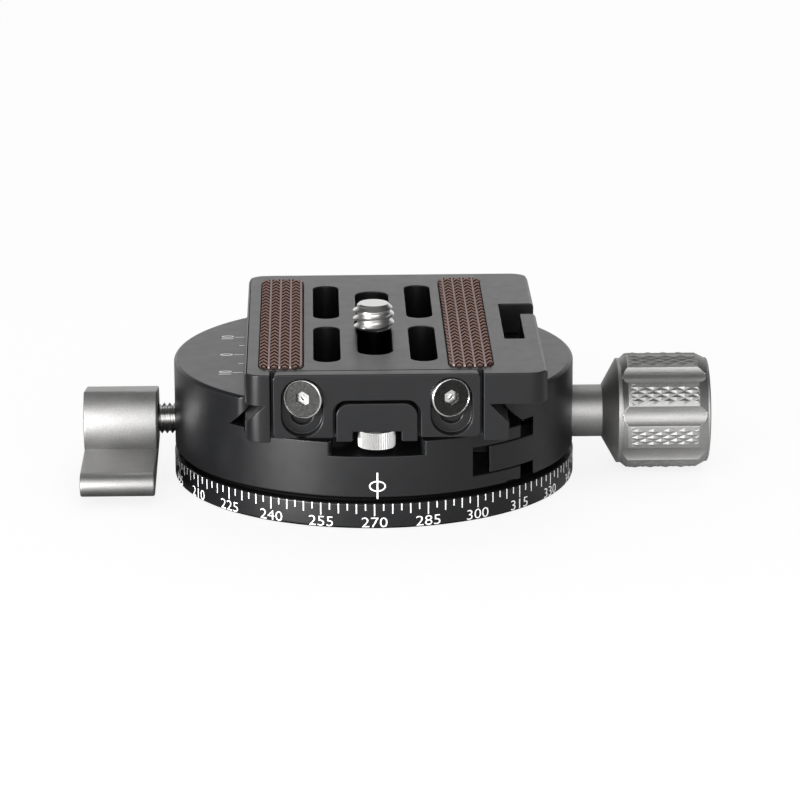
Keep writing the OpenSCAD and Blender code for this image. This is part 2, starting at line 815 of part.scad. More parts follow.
// A flange screw's slot, wide for the head and narrow for the shank
module flange_slot(side) {
    head_w = 2 * (button_r + head_slot_gap);
    shank_w = 2 * (m3_r + shank_slot_gap);
    rotate([90, 0, 0]) {
        translate([0, 0, plate_end_y - button_h - 2 * fit])
            linear_extrude(flange_t)
                slot_y_2d(
                    side * flange_screw_x, flange_screw_z - flange_travel / 2,
                    head_w, flange_travel + head_w
                );
        linear_extrude(plate_l)
            slot_y_2d(
                side * flange_screw_x, flange_screw_z - flange_travel / 2,
                shank_w, flange_travel + shank_w
            );
    }
}

module anti_twist_flange() color(anodised)
    difference() {
        translate([0, -plate_end_y + flange_t, 0]) rotate([90, 0, 0])
            linear_extrude(flange_t)
                difference() {
                    round_rect(
                        -flange_half, flange_half, flange_low_z, plate_top_z, flange_corner_r
                    );
                    round_rect(-arch_half, arch_half, flange_low_z - 3 * arch_r, arch_top_z, arch_r);
                }
        flange_slot(-1);
        flange_slot(1);
    }

module camera_screw() color(steel)
    translate([0, camera_y, 0])
        difference() {
            rotate_extrude() polygon([
                [0, camera_head_z], [camera_head_r - camera_head_edge, camera_head_z],
                [camera_head_r, camera_head_z + camera_head_edge],
                [camera_head_r, camera_head_z + camera_head_h],
                [camera_neck_r, camera_head_z + camera_head_h], [camera_neck_r, plate_top_z],
                [camera_r, plate_top_z], [camera_r, plate_top_z + camera_l - camera_tip],
                [camera_r - camera_tip, plate_top_z + camera_l], [0, plate_top_z + camera_l]
            ]);
            translate([0, 0, camera_head_z]) hex_socket(camera_socket);
            translate([-camera_head_r, -coin_slot_w / 2, camera_head_z - past])
                cube([2 * camera_head_r, coin_slot_w, coin_slot_d + past]);
        }

module screw_washer() color(polymer)
    translate([0, camera_y, camera_head_z + camera_head_h])
        difference() {
            cylinder(r = camera_head_r - turn_gap, h = screw_washer_t);
            translate([0, 0, -past]) cylinder(r = camera_neck_r + fit, h = 3 * past);
        }

base_disc();
thread_insert();
hub();
hub_screws();
lower_washer();
upper_washer();
clamp_body();
spring_plungers();
moving_jaw();
guide_pins();
knob_washer();
clamp_knob();
draw_screw();
brake_shoe();
lock_lever();
lock_stud();
plate_body();
grip_pad_left();
grip_pad_right();
flange_screws();
safety_screws();
anti_twist_flange();
camera_screw();
screw_washer();
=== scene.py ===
"""Looks of the panning clamp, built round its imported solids."""

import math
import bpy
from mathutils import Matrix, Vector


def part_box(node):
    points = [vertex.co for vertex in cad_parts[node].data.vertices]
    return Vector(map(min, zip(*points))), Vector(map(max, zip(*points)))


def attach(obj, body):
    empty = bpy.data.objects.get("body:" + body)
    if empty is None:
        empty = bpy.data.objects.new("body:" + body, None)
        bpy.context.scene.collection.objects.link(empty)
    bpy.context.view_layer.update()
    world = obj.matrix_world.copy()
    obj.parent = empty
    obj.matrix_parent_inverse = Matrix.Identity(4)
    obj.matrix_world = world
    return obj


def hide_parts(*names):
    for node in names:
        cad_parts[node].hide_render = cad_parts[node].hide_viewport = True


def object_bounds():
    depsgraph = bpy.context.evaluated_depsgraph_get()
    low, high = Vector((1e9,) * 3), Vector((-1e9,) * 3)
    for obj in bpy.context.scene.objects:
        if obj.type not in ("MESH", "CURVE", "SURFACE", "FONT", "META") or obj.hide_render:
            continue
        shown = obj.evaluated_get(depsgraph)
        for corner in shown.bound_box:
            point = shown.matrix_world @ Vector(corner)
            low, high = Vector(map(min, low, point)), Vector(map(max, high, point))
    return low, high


bl_info = {
    "name": "Panning clamp",
    "version": (1, 0, 0),
    "blender": (4, 5, 0),
    "location": "View3D > Sidebar > Clamp",
    "description": "Builds a panning clamp with its quick-release plate, piece by piece",
    "category": "Add Mesh",
}

import bmesh
import bpy
from mathutils import Matrix, Vector

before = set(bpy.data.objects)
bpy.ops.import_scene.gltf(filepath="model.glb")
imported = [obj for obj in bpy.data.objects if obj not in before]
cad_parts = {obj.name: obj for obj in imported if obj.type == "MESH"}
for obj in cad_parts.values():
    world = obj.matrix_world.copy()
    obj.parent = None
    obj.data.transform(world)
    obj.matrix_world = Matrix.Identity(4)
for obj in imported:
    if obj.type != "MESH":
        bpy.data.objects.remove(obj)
CAD_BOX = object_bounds()

MM = 0.001
TURN = 2 * math.pi


def centre_of(node):
    """The middle of a solid's box"""
    low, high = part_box(node)
    return (low + high) / 2


DISC_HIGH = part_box("base_disc")[1]
BODY_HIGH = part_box("clamp_body")[1]
PLATE_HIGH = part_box("plate_body")[1]
INSERT_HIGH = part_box("thread_insert")[1]
KNOB_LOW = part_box("clamp_knob")[0]
STUD_LOW, STUD_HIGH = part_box("lock_stud")
KNOB_Z = centre_of("draw_screw").z
STUD_Z = centre_of("lock_stud").z

# Points nearer than these are one point, in drawn pieces and in the solids' triangles
DRAWN_GAP = 0.0005 * MM
SOLID_GAP = 0.001 * MM
# Faces of a solid that bend by less than this are one face
FLAT = math.radians(0.4)
# How deep a filled mark reaches into its surface, in millimetres
MARK_SUNK = 0.03


# Sizes and colours

def length(name, text, value):
    """A length in metres, given in millimetres"""
    return bpy.props.FloatProperty(
        name=name, description=text, default=value * MM, min=0, unit="LENGTH", precision=5
    )


def colour(name, text, value):
    """A colour in linear light"""
    return bpy.props.FloatVectorProperty(
        name=name, description=text, default=value, size=3, min=0, max=1, subtype="COLOR"
    )


def amount(name, text, value):
    """A plain number from 0 to 1"""
    return bpy.props.FloatProperty(
        name=name, description=text, default=value, min=0, max=1, subtype="FACTOR"
    )


class ClampSizes(bpy.types.PropertyGroup):
    """Sizes of the details that the solids don't hold"""

    edge: length("Edge", "Width of the broken edges of the machined pieces", 0.18)
    lever_edge: length("Lever edge", "Width of the lever's rounded edges", 0.28)
    tick_w: length("Tick width", "Width of the ticks of the scales", 0.18)
    tick_long: length("Long tick", "Length of the ticks at each number", 1.83)
    tick_middle: length("Middle tick", "Length of the ticks at each 5 degrees", 1.5)
    tick_short: length("Short tick", "Length of the ticks between them", 1.0)
    digit_h: length("Digit height", "Height of the numbers on the disc", 1.5)
    ink: length("Ink", "How far the filled marks stand out", 0.012)
    knurl_l: length("Knurl length", "Length of the knob's diamonds", 2.356)
    knurl_w: length("Knurl width", "Width of the knob's diamonds", 1.15)
    knurl_d: length("Knurl depth", "Depth of the grooves between the diamonds", 0.26)
    row_pitch: length("Row pitch", "Distance from one chevron to the next", 1.85)
    chevron_h: length("Chevron height", "How far the chevrons stand up", 0.3)
    camera_pitch: length("Camera thread", "Pitch of the camera screw's thread", 1.27)
    tripod_pitch: length("Tripod thread", "Pitch of the tripod thread", 1.5875)
    stud_pitch: length("Stud thread", "Pitch of the lock stud's thread", 0.8)


class ClampColours(bpy.types.PropertyGroup):
    """Colours and gloss of the finishes"""

    anodised: colour("Anodised", "Black anodised aluminium", (0.006, 0.0061, 0.0068))
    # Painted highlight: the broken edges are a little lighter than the black finish, to stand
    # for the light they catch
    anodised_edge: colour(
        "Anodised edge highlight", "Broken edges of the black pieces", (0.009, 0.0092, 0.01)
    )
    titanium: colour("Titanium grey", "Blasted grey aluminium", (0.35, 0.347, 0.344))
    steel: colour("Steel", "Turned stainless steel", (0.68, 0.677, 0.67))
    # Dark steel for the buttons' etched faces, and as painted shade on the faces in their
    # sockets
    steel_dark: colour("Etched steel and socket shade", "Sunk faces of the screw heads", (0.028, 0.028, 0.027))
    bronze: colour("Bronze", "Turned bronze", (0.5, 0.33, 0.16))
    polymer: colour("Polymer", "Black bearing washers", (0.002, 0.002, 0.002))
    rubber: colour("Rubber", "Brown rubber of the grip pads", (0.21, 0.122, 0.1))
    rib: colour("Rib", "Lighter ribs between the chevrons", (0.24, 0.185, 0.18))
    marks: colour("Marks", "White filling of the scales", (0.76, 0.76, 0.76))
    floor: colour("Floor", "Pale studio floor", (0.86, 0.86, 0.86))
    anodised_gloss: amount("Anodised roughness", "Roughness of the black finish", 0.34)
    titanium_gloss: amount("Titanium roughness", "Roughness of the grey finish", 0.5)


def sizes():
    """The sizes in use"""
    return bpy.context.scene.clamp_sizes


def colours():
    """The colours in use"""
    return bpy.context.scene.clamp_colours


# Modelling, as by hand

def let_go():
    """Leaves edit mode and deselects everything"""
    if bpy.context.object and bpy.context.object.mode != "OBJECT":
        bpy.ops.object.mode_set(mode="OBJECT")
    bpy.ops.object.select_all(action="DESELECT")


def take(*pieces):
    """Selects the pieces, with the first one active"""
    let_go()
    for piece in pieces:
        piece.select_set(True)
    bpy.context.view_layer.objects.active = pieces[0]
    return pieces[0]


def open_up(piece, kind="FACE", everything=True):
    """Enters edit mode on a piece"""
    take(piece)
    bpy.ops.object.mode_set(mode="EDIT")
    bpy.ops.mesh.select_mode(type=kind)
    bpy.ops.mesh.select_all(action="SELECT" if everything else "DESELECT")


def pick(piece, kind, test):
    """Selects the faces, edges or vertices that pass a test, in edit mode"""
    bpy.ops.mesh.select_mode(type=kind)
    bpy.ops.mesh.select_all(action="DESELECT")
    mesh = bmesh.from_edit_mesh(piece.data)
    parts = {"FACE": mesh.faces, "EDGE": mesh.edges, "VERT": mesh.verts}[kind]
    for part in parts:
        if test(part):
            part.select_set(True)
    mesh.select_flush_mode()
    bmesh.update_edit_mesh(piece.data)


def close_up():
    """Merges doubles, turns the faces outwards and leaves edit mode"""
    bpy.ops.mesh.select_all(action="SELECT")
    bpy.ops.mesh.remove_doubles(threshold=DRAWN_GAP)
    bpy.ops.mesh.normals_make_consistent(inside=False)
    bpy.ops.object.mode_set(mode="OBJECT")


def started(name):
    """Names the primitive just added and puts its place in its mesh"""
    piece = bpy.context.object
    piece.name = name
    piece.data.name = name
    bpy.ops.object.transform_apply(location=True, rotation=True, scale=True)
    return piece


def block(name, low, high):
    """A box between two corners in millimetres"""
    let_go()
    middle = [(a + b) / 2 * MM for a, b in zip(low, high)]
    side = [(b - a) * MM for a, b in zip(low, high)]
    bpy.ops.mesh.primitive_cube_add(size=1, location=middle, scale=side)
    return started(name)


def turned(name, rings, count=128):
    """A closed turned shape along Z, through rings of (height, radius) in millimetres"""
    let_go()
    height, radius = rings[0]
    bpy.ops.mesh.primitive_circle_add(
        vertices=count, radius=radius * MM, fill_type="NGON", location=(0, 0, height * MM)
    )
    piece = started(name)
    open_up(piece)
    for next_height, next_radius in rings[1:]:
        rise = (next_height - height) * MM
        bpy.ops.mesh.extrude_region_move(TRANSFORM_OT_translate={"value": (0, 0, rise)})
        wide = next_radius / radius
        bpy.ops.transform.resize(value=(wide, wide, 1), center_override=(0, 0, next_height * MM))
        height, radius = next_height, next_radius
    close_up()
    return piece


def moved(piece, place, turn=(0, 0, 0)):
    """Turns a piece by degrees about the axes and moves it, with both in its mesh"""
    take(piece)
    piece.rotation_euler = [math.radians(angle) for angle in turn]
    piece.location = place
    bpy.ops.object.transform_apply(location=True, rotation=True, scale=True)
    return piece


def along_x(piece, x, z):
    """Lays a piece that was turned along Z on an axis along X"""
    return moved(piece, (x, 0, z), (0, 90, 0))


def twin(piece, name):
    """A copy with its own mesh"""
    take(piece)
    bpy.ops.object.duplicate(linked=False)
    copy = bpy.context.object
    copy.name = name
    copy.data.name = name
    return copy


def joined(name, pieces):
    """Joins pieces into one"""
    whole = take(*pieces)
    if len(pieces) > 1:
        bpy.ops.object.join()
    whole.name = name
    whole.data.name = name
    return whole


def modified(piece, kind, **settings):
    """Adds a modifier and applies it"""
    take(piece)
    bpy.ops.object.modifier_add(type=kind)
    modifier = piece.modifiers[-1]
    for key, value in settings.items():
        setattr(modifier, key, value)
    bpy.ops.object.modifier_apply(modifier=modifier.name)
    return piece


def cut(piece, tool, how="DIFFERENCE"):
    """Cuts a piece with a tool, which is then thrown away"""
    modified(piece, "BOOLEAN", operation=how, object=tool, solver="EXACT")
    bpy.data.objects.remove(tool, do_unlink=True)
    return piece


def machined(name, node):
    """A copy of a solid, with its triangles merged into clean faces"""
    let_go()
    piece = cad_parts[node].copy()
    piece.data = piece.data.copy()
    piece.name = name
    piece.data.name = name
    piece.parent = None
    for key in list(piece.keys()):
        del piece[key]
    piece.data.materials.clear()
    bpy.context.scene.collection.objects.link(piece)
    open_up(piece, "VERT")
    bpy.ops.mesh.remove_doubles(threshold=SOLID_GAP)
    bpy.ops.mesh.customdata_custom_splitnormals_clear()
    bpy.ops.mesh.select_all(action="SELECT")
    bpy.ops.mesh.dissolve_limited(angle_limit=FLAT)
    bpy.ops.object.mode_set(mode="OBJECT")
    return piece


def softened(piece, width, segments=2, limit=32, edge_material=-1):
    """Breaks the sharp edges of a piece"""
    take(piece)
    bpy.ops.object.shade_smooth()
    modified(
        piece, "BEVEL", width=width, segments=segments, limit_method="ANGLE",
        angle_limit=math.radians(limit), use_clamp_overlap=False, harden_normals=True,
        material=edge_material, miter_outer="MITER_SHARP"
    )
    modified(piece, "WEIGHTED_NORMAL", keep_sharp=False, weight=50)
    return piece


def smoothed(piece, angle=30):
    """Shades a piece smooth, apart from its sharp edges"""
    take(piece)
    bpy.ops.object.shade_smooth_by_angle(angle=math.radians(angle))
    return piece


def threaded(name, outer, depth, pitch, long, tip=0.0, foot=0.0, count=72, fine=8):
    """A threaded rod along Z from zero, in millimetres, with a chamfer at either end"""
    half_groove = 0.44
    flank_curve = 1.8
    end = 0.01 * MM
    let_go()
    rows = int(math.ceil(long / pitch) + 2) * fine
    bpy.ops.mesh.primitive_grid_add(x_subdivisions=count, y_subdivisions=rows, size=1)
    rod = started(name)

    def groove(phase):
        """How deep the groove is, from 0 to 1, so many turns along the thread"""
        rise = min(abs(phase % 1 - 0.5) / half_groove, 1)
        return 1 - rise ** flank_curve

    for point in rod.data.vertices:
        around = point.co.x + 0.5
        row = (point.co.y + 0.5) * rows / fine
        height = min(max((row - 1.5 + around) * pitch, 0), long)
        radius = outer - depth * groove(height / pitch - around)
        radius = min(radius, outer - tip + long - height, outer - foot + height)
        angle = around * TURN
        point.co = (
            radius * math.cos(angle) * MM, radius * math.sin(angle) * MM, height * MM
        )
    open_up(rod, "EDGE")
    bpy.ops.mesh.remove_doubles(threshold=DRAWN_GAP)
    pick(rod, "EDGE", lambda edge: edge.is_boundary and edge.verts[0].co.z < end)
    bpy.ops.mesh.edge_face_add()
    pick(rod, "EDGE", lambda edge: edge.is_boundary and edge.verts[0].co.z > long * MM - end)
    bpy.ops.mesh.edge_face_add()
    close_up()
    return rod


def wrapped(piece, radius, start):
    """Bends a piece drawn upright at the origin round Z: X becomes the arc from an angle"""
    for point in piece.data.vertices:
        angle = math.radians(start) + point.co.x / radius
        out = radius - point.co.y
        point.co = (out * math.cos(angle), out * math.sin(angle), point.co.z)
    return piece


def written(name, text, height, thick, wide):
    """Digits in the XY plane, centred at the origin, as a closed mesh of a given height"""
    thinner = -0.008
    let_go()
    bpy.ops.object.text_add()
    words = bpy.context.object
    words.data.body = text
    words.data.align_x = "CENTER"
    words.data.align_y = "CENTER"
    words.data.resolution_u = 3
    words.data.offset = thinner
    words.data.extrude = 0.01
    bpy.ops.object.convert(target="MESH")
    words = bpy.context.object
    words.name = name
    low = [min(point.co[i] for point in words.data.vertices) for i in range(3)]
    high = [max(point.co[i] for point in words.data.vertices) for i in range(3)]
    scale = height / (high[1] - low[1])
    for point in words.data.vertices:
        point.co.x = (point.co.x - (low[0] + high[0]) / 2) * scale * wide
        point.co.y = (point.co.y - (low[1] + high[1]) / 2) * scale
        point.co.z = (point.co.z - (low[2] + high[2]) / 2) / (high[2] - low[2]) * thick
    open_up(words)
    bpy.ops.mesh.remove_doubles(threshold=SOLID_GAP)
    bpy.ops.object.mode_set(mode="OBJECT")
    return words


# Finishes

def put(tree, kind, inputs=None, **settings):
    """Adds a node with its settings, and the values or links of its inputs"""
    node = tree.nodes.new(kind)
    for key, value in settings.items():
        setattr(node, key, value)
    for key, value in (inputs or {}).items():
        if isinstance(value, bpy.types.NodeSocket):
            tree.links.new(value, node.inputs[key])
        else:
            node.inputs[key].default_value = value
    return node


def reckon(tree, operation, first, second, third=None):
    """A Math node's output"""
    inputs = {0: first, 1: second}
    if third is not None:
        inputs[2] = third
    return put(tree, "ShaderNodeMath", inputs, operation=operation).outputs[0]


def faded(tree, value, start, end, first, last, how="SMOOTHSTEP"):
    """What a value gives when its range is carried to another one, level outside it"""
    return put(tree, "ShaderNodeMapRange", {
        "Value": value, "From Min": start, "From Max": end, "To Min": first, "To Max": last,
    }, interpolation_type=how).outputs[0]


def group_of(name, inputs, outputs):
    """A new shader node group, with its input and output nodes"""
    tree = bpy.data.node_groups.new(name, "ShaderNodeTree")
    for label, kind in outputs:
        tree.interface.new_socket(label, in_out="OUTPUT", socket_type=kind)
    for label, kind, value in inputs:
        socket = tree.interface.new_socket(label, in_out="INPUT", socket_type=kind)
        if value is not None:
            socket.default_value = value
    return tree, tree.nodes.new("NodeGroupInput"), tree.nodes.new("NodeGroupOutput")


def grain_group():
    """Fine blasted grain: a speckled colour, an uneven gloss and a bumpy normal"""
    name = "blasted grain"
    if name in bpy.data.node_groups:
        return bpy.data.node_groups[name]
    tree, given, result = group_of(
        name,
        [
            ("Colour", "NodeSocketColor", (0.5, 0.5, 0.5, 1)),
            ("Speckle", "NodeSocketFloat", 0.1),
            ("Roughness", "NodeSocketFloat", 0.4),
            ("Spread", "NodeSocketFloat", 0.1),
            ("Scale", "NodeSocketFloat", 5000),
            ("Depth", "NodeSocketFloat", 0.00001),
        ],
        [
            ("Colour", "NodeSocketColor"),
            ("Roughness", "NodeSocketFloat"),
            ("Normal", "NodeSocketVector"),
        ],
    )
    place = put(tree, "ShaderNodeTexCoord").outputs["Object"]
    fine = put(tree, "ShaderNodeTexNoise", {
        "Vector": place, "Scale": given.outputs["Scale"], "Detail": 3.0, "Roughness": 0.65,
    }).outputs["Fac"]
    coarse = put(tree, "ShaderNodeTexNoise", {
        "Vector": place, "Scale": reckon(tree, "MULTIPLY", given.outputs["Scale"], 0.07),
        "Detail": 2.0,
    }).outputs["Fac"]
    speckle = reckon(
        tree, "MULTIPLY_ADD", reckon(tree, "SUBTRACT", fine, 0.5),
        reckon(tree, "MULTIPLY", given.outputs["Speckle"], 2), 1
    )
    shade = put(tree, "ShaderNodeVectorMath", {
        0: given.outputs["Colour"], "Scale": speckle,
    }, operation="SCALE").outputs[0]
    rough = reckon(
        tree, "MULTIPLY_ADD", reckon(tree, "SUBTRACT", coarse, 0.5),
        given.outputs["Spread"], given.outputs["Roughness"]
    )
    bump = put(tree, "ShaderNodeBump", {
        "Height": fine, "Distance": given.outputs["Depth"], "Strength": 1.0,
    }).outputs["Normal"]
    tree.links.new(shade, result.inputs["Colour"])
    tree.links.new(rough, result.inputs["Roughness"])
    tree.links.new(bump, result.inputs["Normal"])
    return tree


def turning_group():
    """Fine lines left by turning about Z: an uneven gloss and a ringed normal"""
    name = "turning lines"
    if name in bpy.data.node_groups:
        return bpy.data.node_groups[name]
    tree, given, result = group_of(
        name,
        [
            ("Place", "NodeSocketVector", None),
            ("Roughness", "NodeSocketFloat", 0.25),
            ("Spread", "NodeSocketFloat", 0.1),
            ("Scale", "NodeSocketFloat", 9000),
            ("Depth", "NodeSocketFloat", 0.000004),
        ],
        [
            ("Roughness", "NodeSocketFloat"),
            ("Normal", "NodeSocketVector"),
            ("Lines", "NodeSocketFloat"),
        ],
    )
    x, y, z = put(tree, "ShaderNodeSeparateXYZ", {0: given.outputs["Place"]}).outputs
    square = reckon(tree, "MULTIPLY_ADD", x, x, reckon(tree, "MULTIPLY", y, y))
    radius = reckon(tree, "SQRT", square, 0)
    flat = put(tree, "ShaderNodeCombineXYZ", {0: radius, 1: z}).outputs[0]
    lines = put(tree, "ShaderNodeTexNoise", {
        "Vector": flat, "Scale": given.outputs["Scale"], "Detail": 2.0,
    }).outputs["Fac"]
    rough = reckon(
        tree, "MULTIPLY_ADD", reckon(tree, "SUBTRACT", lines, 0.5),
        given.outputs["Spread"], given.outputs["Roughness"]
    )
    bump = put(tree, "ShaderNodeBump", {
        "Height": lines, "Distance": given.outputs["Depth"], "Strength": 1.0,
    }).outputs["Normal"]
    tree.links.new(rough, result.inputs["Roughness"])
    tree.links.new(bump, result.inputs["Normal"])
    tree.links.new(lines, result.inputs["Lines"])
    return tree


def new_finish(name):
    """A material with only its output node, and that node's surface input"""
    material = bpy.data.materials.new(name)
    material.use_nodes = True
    material.node_tree.nodes.clear()
    output = material.node_tree.nodes.new("ShaderNodeOutputMaterial")
    return material, material.node_tree, output.inputs["Surface"]


def grained(name, tone, *, rough, spread, scale, depth, speckle, metallic=0.0, specular=0.5):
    """A finish with blasted grain, of a depth in millimetres"""
    if name in bpy.data.materials:
        return bpy.data.materials[name]
    material, tree, surface = new_finish(name)
    grain = put(tree, "ShaderNodeGroup", {
        "Colour": (*tone, 1), "Speckle": speckle, "Roughness": rough, "Spread": spread,
        "Scale": scale, "Depth": depth * MM,
    }, node_tree=grain_group()).outputs
    shader = put(tree, "ShaderNodeBsdfPrincipled", {
        "Base Color": grain["Colour"],
        "Metallic": metallic,
        "Roughness": grain["Roughness"],
        "Specular IOR Level": specular,
        "Normal": grain["Normal"],
    })
    tree.links.new(shader.outputs[0], surface)
    return material


def lined(name, tone, *, rough, spread, scale, depth, centre=(0, 0, 0), turn=(0, 0, 0)):
    """Bare metal with turning lines about an axis through a place"""
    if name in bpy.data.materials:
        return bpy.data.materials[name]
    material, tree, surface = new_finish(name)
    place = put(tree, "ShaderNodeTexCoord").outputs["Object"]
    mapping = put(tree, "ShaderNodeMapping", {
        "Vector": place, "Location": centre,
        "Rotation": [math.radians(angle) for angle in turn],
    }, vector_type="TEXTURE")
    lines = put(tree, "ShaderNodeGroup", {
        "Place": mapping.outputs[0], "Roughness": rough, "Spread": spread, "Scale": scale,
        "Depth": depth * MM,
    }, node_tree=turning_group()).outputs
    shade = faded(tree, lines["Lines"], 0.2, 0.8, 0.88, 1.1, "LINEAR")
    tint = put(tree, "ShaderNodeVectorMath", {0: tone, "Scale": shade}, operation="SCALE")
    shader = put(tree, "ShaderNodeBsdfPrincipled", {
        "Base Color": tint.outputs[0],
        "Metallic": 1.0,
        "Roughness": lines["Roughness"],
        "Normal": lines["Normal"],
    })
    tree.links.new(shader.outputs[0], surface)
    return material


def black_finish():
    """Fine-blasted black anodised aluminium"""
    tone = colours()
    return grained(
        "black anodised", tone.anodised, rough=tone.anodised_gloss, spread=0.08,
        scale=6500, depth=0.006, speckle=0.35, specular=0.32
    )


def black_edge():
    """Broken edges of the black pieces, painted a little lighter as a highlight"""
    return grained(
        "black anodised edge highlight", colours().anodised_edge, rough=0.34, spread=0.1,
        scale=5000, depth=0.006, speckle=0.3, specular=0.28
    )


def grey_finish():
    """Blasted titanium-grey aluminium"""
    tone = colours()
    return grained(
        "titanium grey", tone.titanium, rough=tone.titanium_gloss, spread=0.12,
        scale=4600, depth=0.02, speckle=0.3, metallic=1.0
    )


def steel_finish(name, centre=(0, 0, 0), turn=(0, 0, 0), rough=0.2):
    """Stainless steel turned about an axis"""
    return lined(
        name, tuple(colours().steel), rough=rough, spread=0.12, scale=9000, depth=0.002,
        centre=centre, turn=turn
    )


def rubber_finish(name, tone):
    """Soft, dull rubber"""
    return grained(
        name, tone, rough=0.75, spread=0.15, scale=3500, depth=0.02, speckle=0.3, specular=0.2
    )


def mark_finish():
    """White filling of the engraved marks"""
    return grained(
        "white filling", colours().marks, rough=0.6, spread=0.1, scale=4000, depth=0.004,
        speckle=0.12, specular=0.3
    )


def finished(piece, body, slot, *materials, node=None):
    """Gives a piece its materials and body, and hides the solid that it stands for. The slot is
    not used
    """
    for material in materials:
        piece.data.materials.append(material)
    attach(piece, body)
    if node:
        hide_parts(node)
    return piece


def black_piece(name, node, body, width):
    """A black machined piece with its edges broken"""
    piece = machined(name, node)
    piece.data.materials.append(black_finish())
    piece.data.materials.append(black_edge())
    # The bevelled edges get the lighter edge finish, a painted highlight
    softened(piece, width, edge_material=1)
    return finished(piece, body, "black_anodised", node=node)


def shaded_foot(piece, top):
    """Paints shade on a piece's lower edge, up to a height: a dead black, as in the shade of a
    narrow seam
    """
    downwards = -0.25
    piece.data.materials.append(grained(
        "painted foot shade black", (0.002, 0.002, 0.002), rough=0.8, spread=0.1, scale=3000, depth=0.002,
        speckle=0.2, specular=0.03
    ))
    # Painted shade: faces that face down below the height get the dead black
    for face in piece.data.polygons:
        if face.normal.z < downwards and face.center.z < top:
            face.material_index = 2


# Operators, one for each piece or group of like pieces

class PieceOperator:
    """What the operators share"""

    bl_options = {"REGISTER", "UNDO"}


class CLAMP_OT_disc(PieceOperator, bpy.types.Operator):
    """Models the base disc, with painted shade on its lower edge"""

    bl_idname = "clamp.disc"
    bl_label = "Base disc"

    # Height under which the downward faces get painted shade
    foot_top = 0.6 * MM

    def execute(self, context):
        disc = black_piece("degree_disc", "base_disc", "base", sizes().edge)
        shaded_foot(disc, self.foot_top)
        return {"FINISHED"}


class CLAMP_OT_degrees(PieceOperator, bpy.types.Operator):
    """Models the ticks and numbers of the degree scale"""

    bl_idname = "clamp.degrees"
    bl_label = "Degree scale"

    # In millimetres, with the zero's turn and the numbers' step in degrees
    rim_gap = 0.07
    zero_turn = -0.832
    number_step = 15
    number_drop = 0.22
    number_wide = 1.22
    number_thick = 0.04
    number_sunk = 0.018

    def execute(self, context):
        size = sizes()
        radius = DISC_HIGH.x
        top = DISC_HIGH.z - self.rim_gap * MM
        half_w = size.tick_w / 2 / MM
        numbers = 360 // self.number_step
        pieces = []
        rows = [
            (size.tick_long, 0, numbers), (size.tick_middle, 5, numbers),
            (size.tick_middle, 10, numbers), (size.tick_short, 2.5, 3 * numbers),
        ]
        for long, first, count in rows:
            tick = block(
                "tick", (-half_w, -size.ink / MM, (top - long) / MM),
                (half_w, MARK_SUNK, top / MM)
            )
            wrapped(tick, radius, first + self.zero_turn)
            open_up(tick)
            bpy.ops.mesh.spin(
                steps=count - 1, dupli=True, angle=TURN * (count - 1) / count,
                center=(0, 0, 0), axis=(0, 0, 1)
            )
            bpy.ops.object.mode_set(mode="OBJECT")
            pieces.append(tick)
        middle = top - size.tick_long - self.number_drop * MM - size.digit_h / 2
        for angle in range(0, 360, self.number_step):
            number = written(
                "number", str(angle), size.digit_h, self.number_thick * MM, self.number_wide
            )
            moved(number, (0, self.number_sunk * MM - size.ink, middle), (90, 0, 0))
            pieces.append(wrapped(number, radius, angle + self.zero_turn))
        marks = joined("degree_marks", pieces)
        finished(marks, "base", "black_anodised", mark_finish())
        return {"FINISHED"}


class CLAMP_OT_body(PieceOperator, bpy.types.Operator):
    """Models the clamp's body, with painted shade on the edge over the seam"""

    bl_idname = "clamp.body"
    bl_label = "Clamp body"

    # Height under which the downward faces get painted shade
    foot_top = 5.6 * MM

    def execute(self, context):
        body = black_piece("turntable_body", "clamp_body", "turntable", sizes().edge)
        shaded_foot(body, self.foot_top)
        return {"FINISHED"}


